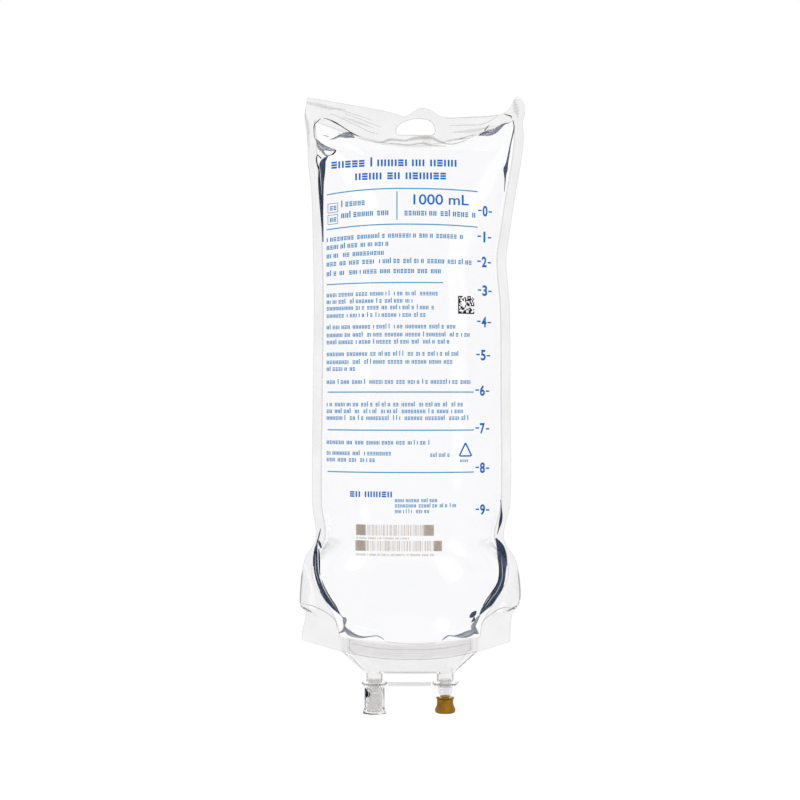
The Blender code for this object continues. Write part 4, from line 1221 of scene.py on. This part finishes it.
def ribbons(name, surface, paths, lift, material, body="bag"):
    """All the ribbons of one kind on a surface, as one thin piece."""
    obj = join(name, [ribbon(name, surface, path, lift) for path in paths])
    thicken(obj, STREAK_THICKNESS, -1.0)
    return finish_piece(obj, material, body=body)


def droop_at(x, amount):
    """How far a printed line has dropped at a place, in millimetres: the film falls away to both sides."""
    share = (x - DROOP_MIDDLE) / DROOP_SPAN
    return amount * share**2 * (1.0 if share < 0 else DROOP_RIGHT)


def cells(xs, zs, keep, droop=0.0):
    """Flat printed cells between the given x and z lines, in millimetres, where keep(column, row) is true."""
    obj = mapped_grid(
        "cells",
        len(xs) - 1,
        len(zs) - 1,
        lambda c, r: (xs[c] * MM, PRINT_PLANE, (zs[r] - droop_at(xs[c], droop)) * MM),
        lambda c, r: (float(c), float(r)),
    )
    edit_all(obj)
    bpy.ops.mesh.select_mode(type="FACE")
    bpy.ops.mesh.select_all(action="DESELECT")
    bpy.ops.object.mode_set(mode="OBJECT")
    layer = obj.data.uv_layers[0].data
    for face in obj.data.polygons:
        corners = [layer[i].uv for i in face.loop_indices]
        column = int(sum(uv.x for uv in corners) / len(corners))
        row = int(sum(uv.y for uv in corners) / len(corners))
        face.select = not keep(column, row)
    bpy.ops.object.mode_set(mode="EDIT")
    bpy.ops.mesh.delete(type="FACE")
    bpy.ops.mesh.select_mode(type="VERT")
    bpy.ops.object.mode_set(mode="OBJECT")
    return obj


def line(x1, x2, z, thickness, droop=0.0):
    """A printed line from left to right, in millimetres."""
    count = max(int((x2 - x1) / LINE_CUT), 1)
    xs = [x1 + (x2 - x1) * i / count for i in range(count + 1)]
    return cells(xs, (z + thickness / 2, z - thickness / 2), lambda c, r: True, droop)


def upright(x, z1, z2, thickness):
    """A printed line from top to bottom, in millimetres."""
    count = max(int(abs(z1 - z2) / UPRIGHT_CUT), 1)
    zs = [z1 + (z2 - z1) * i / count for i in range(count + 1)]
    return cells((x - thickness / 2, x + thickness / 2), zs, lambda c, r: True)


def box_frame(x1, x2, z1, z2, thickness, droop):
    """A printed frame round an empty box, in millimetres."""
    xs, zs = (x1, x1 + thickness, x2 - thickness, x2), (z1, z1 - thickness, z2 + thickness, z2)
    return cells(xs, zs, lambda c, r: (c, r) != (1, 1), droop)


def mark_row(draw, x1, x2, z, size, droop=0.0, longest=9, weight=0.25, width=0.64):
    """A row of plain marks in word-like groups: single and paired strokes and stacked dashes, all chance.
    Size is a low mark's height in millimetres, weight and width its strokes' and its own share of that."""
    stroke, middle, gap, space = weight * size, (width - 2 * weight) * size, 0.2 * size, 0.62 * size
    body, tail = (1 - 3 * weight) / 2 * size, 0.36 * size
    xs, kinds = [x1], []
    while xs[-1] < x2 - 2 * stroke - middle:
        for _ in range(draw.randint(2, longest)):
            shape = draw.choice(("pair", "pair", "dashes", "dashes", "single"))
            tall = draw.random()
            for kind, wide in (("left", stroke), ("middle", middle), ("right", stroke), ("gap", gap)):
                xs.append(xs[-1] + wide)
                kinds.append((kind, shape, tall))
            if xs[-1] > x2:
                break
        xs.append(xs[-1] + space)
        kinds.append(("gap", "single", 0.5))
    top = z + size / 2
    zs = [top + tail, top]
    for height in (stroke, body, stroke, body, stroke, tail):
        zs.append(zs[-1] - height)

    def keep(column, row):
        kind, shape, tall = kinds[column]
        if kind == "gap":
            return False
        if shape == "dashes":
            return row in (1, 3, 5)
        if shape == "single":
            return kind == "left" and (row not in (0, 6) or tall < 0.5 and row == 0)
        return kind != "middle" and row not in (0, 6)

    return cells(xs, zs, keep, droop)


def code_bars(draw, x1, x2, z1, z2, left_block, right_block):
    """A row of upright bars of chance widths between two solid blocks."""
    xs = [x1, left_block]
    while xs[-1] < right_block - 0.5:
        width = draw.choice((0.2, 0.3, 0.45)) if len(xs) % 2 else draw.choice((0.3, 0.5, 0.75))
        xs.append(min(xs[-1] + width, right_block))
    if xs[-1] < right_block:
        xs.append(right_block)
    xs.append(x2)
    last = len(xs) - 2
    return cells(xs, (z1, (z1 + z2) / 2, z2), lambda c, r: c in (0, last) or c % 2 == 0)


def check_square(draw, x1, x2, z1, z2, count):
    """A square of chance cells with two solid sides."""
    xs = [x1 + (x2 - x1) * i / count for i in range(count + 1)]
    zs = [z1 + (z2 - z1) * i / count for i in range(count + 1)]
    filled = {(c, r) for c in range(count) for r in range(count) if draw.random() < 0.5}
    return cells(xs, zs, lambda c, r: c == 0 or r == count - 1 or (c, r) in filled)


def written(body, x1, x2, z1, z2, weight=0.0, droop=0.0):
    """Plain numbers and a unit as flat letters that fill a box, cut finely enough to follow the film."""
    deselect_all()
    bpy.ops.object.text_add()
    obj = bpy.context.object
    obj.data.body = body
    obj.data.offset = weight
    bpy.ops.object.convert(target="MESH")
    obj = bpy.context.object
    low = [min(v.co[i] for v in obj.data.vertices) for i in (0, 1)]
    high = [max(v.co[i] for v in obj.data.vertices) for i in (0, 1)]
    for vertex in obj.data.vertices:
        x = x1 + (x2 - x1) * (vertex.co.x - low[0]) / (high[0] - low[0])
        z = z2 + (z1 - z2) * (vertex.co.y - low[1]) / (high[1] - low[1])
        vertex.co = (x * MM, PRINT_PLANE, (z - droop_at(x, droop)) * MM)
    edit_all(obj)
    for i in range(1, int((x2 - x1) / LETTER_CUT)):
        bpy.ops.mesh.select_all(action="SELECT")
        bpy.ops.mesh.bisect(plane_co=((x1 + LETTER_CUT * i) * MM, 0, 0), plane_no=(1, 0, 0))
    for i in range(1, int(abs(z1 - z2) / UPRIGHT_CUT)):
        bpy.ops.mesh.select_all(action="SELECT")
        bpy.ops.mesh.bisect(plane_co=(0, 0, (z2 + UPRIGHT_CUT * i) * MM), plane_no=(0, 0, 1))
    bpy.ops.object.mode_set(mode="OBJECT")
    return obj


def round_triangle(x1, x2, z1, z2, thickness):
    """The outline of a triangle with rounded corners, in millimetres."""
    corners = ((x1 + x2) / 2, z1), (x1, z2), (x2, z2)
    obj = flat_face("triangle", [(x * MM, z * MM) for x, z in corners], PRINT_PLANE)
    bpy.ops.mesh.bevel(offset=1.6 * MM, segments=5, affect="VERTICES")
    bpy.ops.mesh.select_all(action="SELECT")
    bpy.ops.mesh.inset(thickness=thickness * MM, depth=0)
    bpy.ops.mesh.delete(type="FACE")
    bpy.ops.object.mode_set(mode="OBJECT")
    return obj


def lay_down(name, pieces, film, ink):
    """Presses flat printing onto the front sheet, straight back along Y, and gives the ink its thickness."""
    obj = join(name, pieces)
    for vertex in obj.data.vertices:
        vertex.co = PRINT_CENTRE + (vertex.co - PRINT_CENTRE) * PRINT_SCALE
    modify(obj, "SHRINKWRAP", target=film, wrap_method="PROJECT", use_project_y=True)
    for vertex in obj.data.vertices:
        vertex.co.y -= INK_LIFT
    face_front(obj)
    thicken(obj, INK_THICKNESS, 1.0)
    finish_piece(obj, ink)


def printing(film):
    """Everything printed on the front sheet, placed in millimetres: x from and to, and z."""
    draw = random.Random(41)
    blue = ink_finish("print_blue", (0.0, 0.12, 0.51), (0.0, 0.17, 0.63))
    small_blue = ink_finish("small_blue", (0.0, 0.19, 0.46), (0.003, 0.255, 0.57))
    rules_blue = ink_finish("rule_blue", (0.02, 0.27, 0.52), (0.05, 0.34, 0.6))
    brown = ink_finish("code_brown", (0.48, 0.40, 0.34), (0.57, 0.49, 0.43))
    black = ink_finish("code_black", (0.002, 0.002, 0.003), (0.012, 0.012, 0.014))
    title_rows = (
        (-49.9, 31.0, -25.0, 4.2, 1.3, 8),
        (-35.7, 15.0, -33.0, 4.2, 1.3, 9),
        (-38.6, -14.5, -221.2, 3.4, 0.0, 7),
    )
    titles = [mark_row(draw, *row, weight=0.27, width=0.78) for row in title_rows]
    lay_down("print_titles", titles, film, blue)
    rows = (
        (-69.0, 28.0, 1.6), (-73.8, -12.7, 1.5), (-79.1, -16.8, 1.3), (-84.1, 32.2, 1.1), (-90.0, 17.4, 0.9),
        (-103.3, 12.1, 0.3), (-107.6, -2.1, 0), (-111.5, 10.9, 0), (-115.9, 6.2, 0), (-122.7, 22.1, 0),
        (-127.4, 31.6, 0), (-131.6, 18.6, 0), (-138.7, 26.3, 0), (-143.4, 21.5, 0), (-147.5, -36.3, 0),
        (-155.2, 32.7, 0), (-168.5, 31, 0), (-172.5, 31, 0), (-176.5, 31, 0), (-190.9, 9.1, 0),
        (-197.3, -13.9, 0), (-201.2, -25.1, 0),
    )
    small = [mark_row(draw, -52.8, end, z, 2.15 if z < -100 else 2.5, droop) for z, end, droop in rows]
    other_rows = (
        (-44.0, -31.8, -48.6, 2.9, 2.0, 6), (-44.0, -15.3, -55.3, 2.9, 2.0, 9),
        (-50.8, -47.0, -50.0, 2.6, 2.0, 3), (-50.8, -47.0, -56.9, 2.6, 2.0, 3),
        (-6.5, 36.0, -55.6, 2.9, 1.6, 8), (8.6, 20.4, -198.2, 2.0), (-12.1, 13.3, -224.8, 1.9),
        (-12.1, 24.5, -227.9, 1.9), (-12.1, 7.4, -231.2, 1.9), (26.3, 33.2, -201.6, 1.5),
    )
    small += [mark_row(draw, *row) for row in other_rows]
    small += [box_frame(-52.2, -45.9, top, foot, 0.35, 1.8) for top, foot in ((-47.2, -52.9), (-54.0, -59.8))]
    lay_down("print_small_rows", small, film, small_blue)
    rules = [
        line(-52.8, 36.9, -40.7, 0.7, 2.9),
        line(-52.8, 36.9, -62.2, 0.7, 2.2),
        line(-52.8, 16.2, -96.8, 0.65, 0.3),
    ]
    rules += [line(-52.2, 34.5, z, 0.7) for z in (-161.1, -183.5, -208.3)]
    rules.append(upright(-10.9, -42.5, -59.6, 0.65))
    lay_down("print_rules", rules, film, rules_blue)
    scale = (
        (41.4, -53.7), (41.0, -69.0), (40.9, -83.8), (41.2, -100.9), (40.7, -119.5),
        (40.2, -139.2), (39.7, -160.2), (39.7, -182.6), (39.7, -205.9), (39.8, -230.7),
    )
    numbers = []
    for number, (x, z) in enumerate(scale):
        half = 0.6 if number == 1 else 1.5
        numbers.append(written(str(number), x - half, x + half, z + 3.2, z - 3.2, 0.032))
        numbers.append(line(x - 4.2, x - 2.1, z + 0.3, 0.9))
        numbers.append(line(x + 2.1, x + 4.2, z - 0.3, 0.9))
    numbers.append(written("1000 mL", -1.2, 31.6, -44.2, -50.5, 0.012, 0.6))
    lay_down("print_scale_and_volume", numbers, film, blue)
    lay_down("print_triangle", [round_triangle(25.1, 33.9, -190.0, -199.2, 0.9)], film, blue)
    lay_down("print_check_square", [check_square(draw, 25.1, 34.8, -104.4, -115.0, 14)], film, black)
    codes = [
        code_bars(draw, -35.1, 10.9, -239.0, -245.4, -29.2, 5.0),
        code_bars(draw, -35.4, 15.6, -248.4, -254.5, -29.2, 10.9),
        mark_row(draw, -35.0, -4.0, -247.0, 1.1),
        mark_row(draw, -35.0, 11.0, -256.7, 1.2),
    ]
    lay_down("print_code_bars", codes, film, brown)


def streaks(film, moulding, cap, needle, stopper):
    """Painted reflections, shade and highlights: the dark, grey and light shapes that steep edges of the
    liquid, folds of the film and clear plastics show.
    """
    # Painted dark reflections: navy and black lines in the liquid's edges and on the cap, and steel-grey
    # wedges.
    navy = streak_finish("painted_navy_reflection", (0.0, 0.001, 0.007), (0.05, 0.1, 0.23), 1.0, 0.14)
    deep = streak_finish("painted_dark_reflection", (0.001, 0.002, 0.005), (0.01, 0.014, 0.03), 1.0, 0.2)
    steel = streak_finish("painted_steel_reflection", (0.04, 0.065, 0.12), (0.64, 0.67, 0.72), 0.86, 0.2)
    # Painted grey shade along the film's folds and round the slot.
    soft = streak_finish("painted_grey_shade", (0.42, 0.41, 0.40), (0.62, 0.61, 0.60), 0.38, 0.45)
    glint = streak_finish("edge_glint", (0.62, 0.66, 0.72), (0.92, 0.93, 0.95), 0.75, 0.5)
    # Painted grey shade on the film's corners and strips.
    film_shade_finish = streak_finish("painted_film_shade", (0.50, 0.49, 0.51), (0.66, 0.65, 0.66), 0.26, 0.5)
    # Painted grey shade along the moulding's edges.
    outline = streak_finish("painted_moulding_edge_shade", (0.24, 0.23, 0.23), (0.42, 0.41, 0.40), 0.52, 0.5)
    shade = streak_finish("moulding_shade", (0.42, 0.41, 0.41), (0.56, 0.55, 0.54), 0.26, 0.5)
    brown = streak_finish("rubber_shade", (0.09, 0.035, 0.0), (0.16, 0.07, 0.0), 0.7, 0.5)
    # Painted amber glow of the plug seen through the needle tube.
    amber = streak_finish("painted_plug_glow", (0.42, 0.25, 0.03), (0.60, 0.42, 0.10), 0.75, 0.3)
    wider, taller = RIM_GROWTH
    ring = [
        (x / MM * wider, (z / MM - SLOT_MIDDLE) * taller + SLOT_MIDDLE, RIM_WIDTH) for x, z in slot_outline()
    ]
    surface = surface_of(film)
    ribbons("navy_reflection_ribbons", surface, NAVY_EDGE_REFLECTIONS, LIQUID_DEPTH, navy)
    ribbons("dark_line_reflection_ribbons", surface, DARK_LINE_REFLECTIONS, LINE_LIFT, deep)
    ribbons("steel_reflection_ribbons", surface, STEEL_EDGE_REFLECTIONS, LIQUID_DEPTH, steel)
    ribbons("edge_glints", surface, GLINTS, FOLD_LIFT, glint)
    ribbons("soft_fold_shade_ribbons", surface, SOFT_FOLD_SHADES, FOLD_LIFT, soft)
    ribbons("film_shade_ribbons", surface, FILM_SHADE_PATCHES, HAZE_LIFT, film_shade_finish)
    # The slot's rim is painted grey shade.
    ribbons("slot_edge_shade_ribbon", surface, [ring + ring[:1]], FOLD_LIFT, soft)
    surface = surface_of(moulding)
    ribbons("moulding_edge_shade_ribbons", surface, MOULDING_EDGE_SHADES, FOLD_LIFT, outline)
    ribbons("moulding_shades", surface, MOULDING_SHADES, SHADE_LIFT, shade)
    ribbons("septum_shades", surface_of(stopper), SEPTUM_SHADES, FOLD_LIFT, brown)
    # Painted dark reflections in the clear cap.
    ribbons("protector_dark_reflection_ribbons", surface_of(cap), PROTECTOR_DARK_REFLECTIONS, FOLD_LIFT, deep, "protector")
    ribbons("painted_plug_glow_ribbon", surface_of(needle), PLUG_GLOW, FOLD_LIFT, amber)


# Stage, and the whole bag put together


def white_to_the_eye(tree, plain, white):
    """Mixes two shaders: white for what the camera, gloss and clear pieces see, plain for the light shed."""
    rays = add(tree, "ShaderNodeLightPath").outputs
    seen = add(tree, "ShaderNodeMath", rays["Is Camera Ray"], rays["Is Glossy Ray"], operation="MAXIMUM")
    clear = add(tree, "ShaderNodeMath", seen.outputs[0], rays["Is Transmission Ray"], operation="MAXIMUM")
    return add(tree, "ShaderNodeMixShader", clear.outputs[0], plain.outputs[0], white.outputs[0]).outputs[0]


def lamp(name, place, size, power):
    data = bpy.data.lights.new(name, "AREA")
    data.shape = "DISK"
    data.size = size
    data.energy = power
    obj = bpy.data.objects.new(name, data)
    obj.location = place
    obj.rotation_euler = (LAMP_AIM - obj.location).to_track_quat("-Z", "Y").to_euler()
    bpy.context.scene.collection.objects.link(obj)


def stage():
    """The white room, the pale floor, three soft lamps and the camera."""
    scene = bpy.context.scene
    scene.view_settings.view_transform = "Standard"
    world = bpy.data.worlds.new("studio")
    scene.world = world
    world.use_nodes = True
    tree = world.node_tree
    plain = tree.nodes["Background"]
    give(tree, plain, Color=(1, 1, 1), Strength=0.8)
    white = add(tree, "ShaderNodeBackground", Color=(1, 1, 1), Strength=1.0)
    feed(tree, tree.nodes["World Output"].inputs["Surface"], white_to_the_eye(tree, plain, white))
    deselect_all()
    bpy.ops.mesh.primitive_plane_add(size=60, location=(0, 0, FLOOR_HEIGHT))
    floor = bpy.context.object
    floor.name = "studio_floor"
    made, tree, shader = tree_of("pale_floor")
    give(tree, shader, Base_Color=(0.85, 0.85, 0.86), Roughness=0.9, Specular_IOR_Level=0.0)
    glow = add(tree, "ShaderNodeEmission", Strength=1.09)
    part = add(tree, "ShaderNodeMixShader", 0.8, shader.outputs[0], glow.outputs[0])
    feed(tree, tree.nodes["Material Output"].inputs["Surface"], white_to_the_eye(tree, shader, part))
    floor.data.materials.append(made)
    lamp("key_lamp", (-1.3, -1.7, 0.9), 1.2, 9)
    lamp("fill_lamp", (1.6, -1.2, 0.2), 1.0, 4)
    lamp("back_lamp", (0.6, 1.6, 1.0), 1.0, 5)
    camera = bpy.data.cameras.new("camera")
    camera.sensor_width = 36
    camera.lens = 36 * CAMERA_DISTANCE / VIEW_WIDTH
    camera.clip_start = 0.01
    eye = bpy.data.objects.new("camera", camera)
    eye.location = (VIEW_CENTRE[0], -CAMERA_DISTANCE, VIEW_CENTRE[1])
    eye.rotation_euler = (math.radians(90), 0, 0)
    scene.collection.objects.link(eye)
    scene.camera = eye


def main():
    film = film_finish()
    rows = film_rows()
    sheets = {}
    for name, side, node in (("bag_front_sheet", -1, "front_film"), ("bag_back_sheet", 1, "back_film")):
        sheet = film_sheet(name, side, rows)
        boolean(sheet, plate("slot_tool", slot_outline(), 2 * CHAMBER_DEPTH), "DIFFERENCE")
        finish_piece(sheet, film, node)
        sheets[name] = sheet
    finish_piece(saline(), saline_finish(), "saline_solution")
    white = (0.988, 0.985, 0.982), (0.998, 0.996, 0.994)
    milky = plastic_finish("milky_moulding", *white, 0.93, 1.19, (0.06, 0.11), 60.0)
    grey = (0.885, 0.876, 0.876), (0.94, 0.93, 0.928)
    clear = plastic_finish("clear_plastic", *grey, 0.95, 1.33, (0.05, 0.1), 120.0)
    moulding = finish_piece(port_moulding(), milky, "port_moulding")
    finish_piece(spike_tube(), clear, "set_port_tube")
    cap = finish_piece(protector(), clear, "set_port_protector", "protector")
    needle = finish_piece(needle_tube(), clear, "med_port_tube")
    stopper = finish_piece(septum(), rubber_finish(), "med_port_septum")
    printing(sheets["bag_front_sheet"])
    streaks(sheets["bag_front_sheet"], moulding, cap, needle, stopper)
    stage()


main()
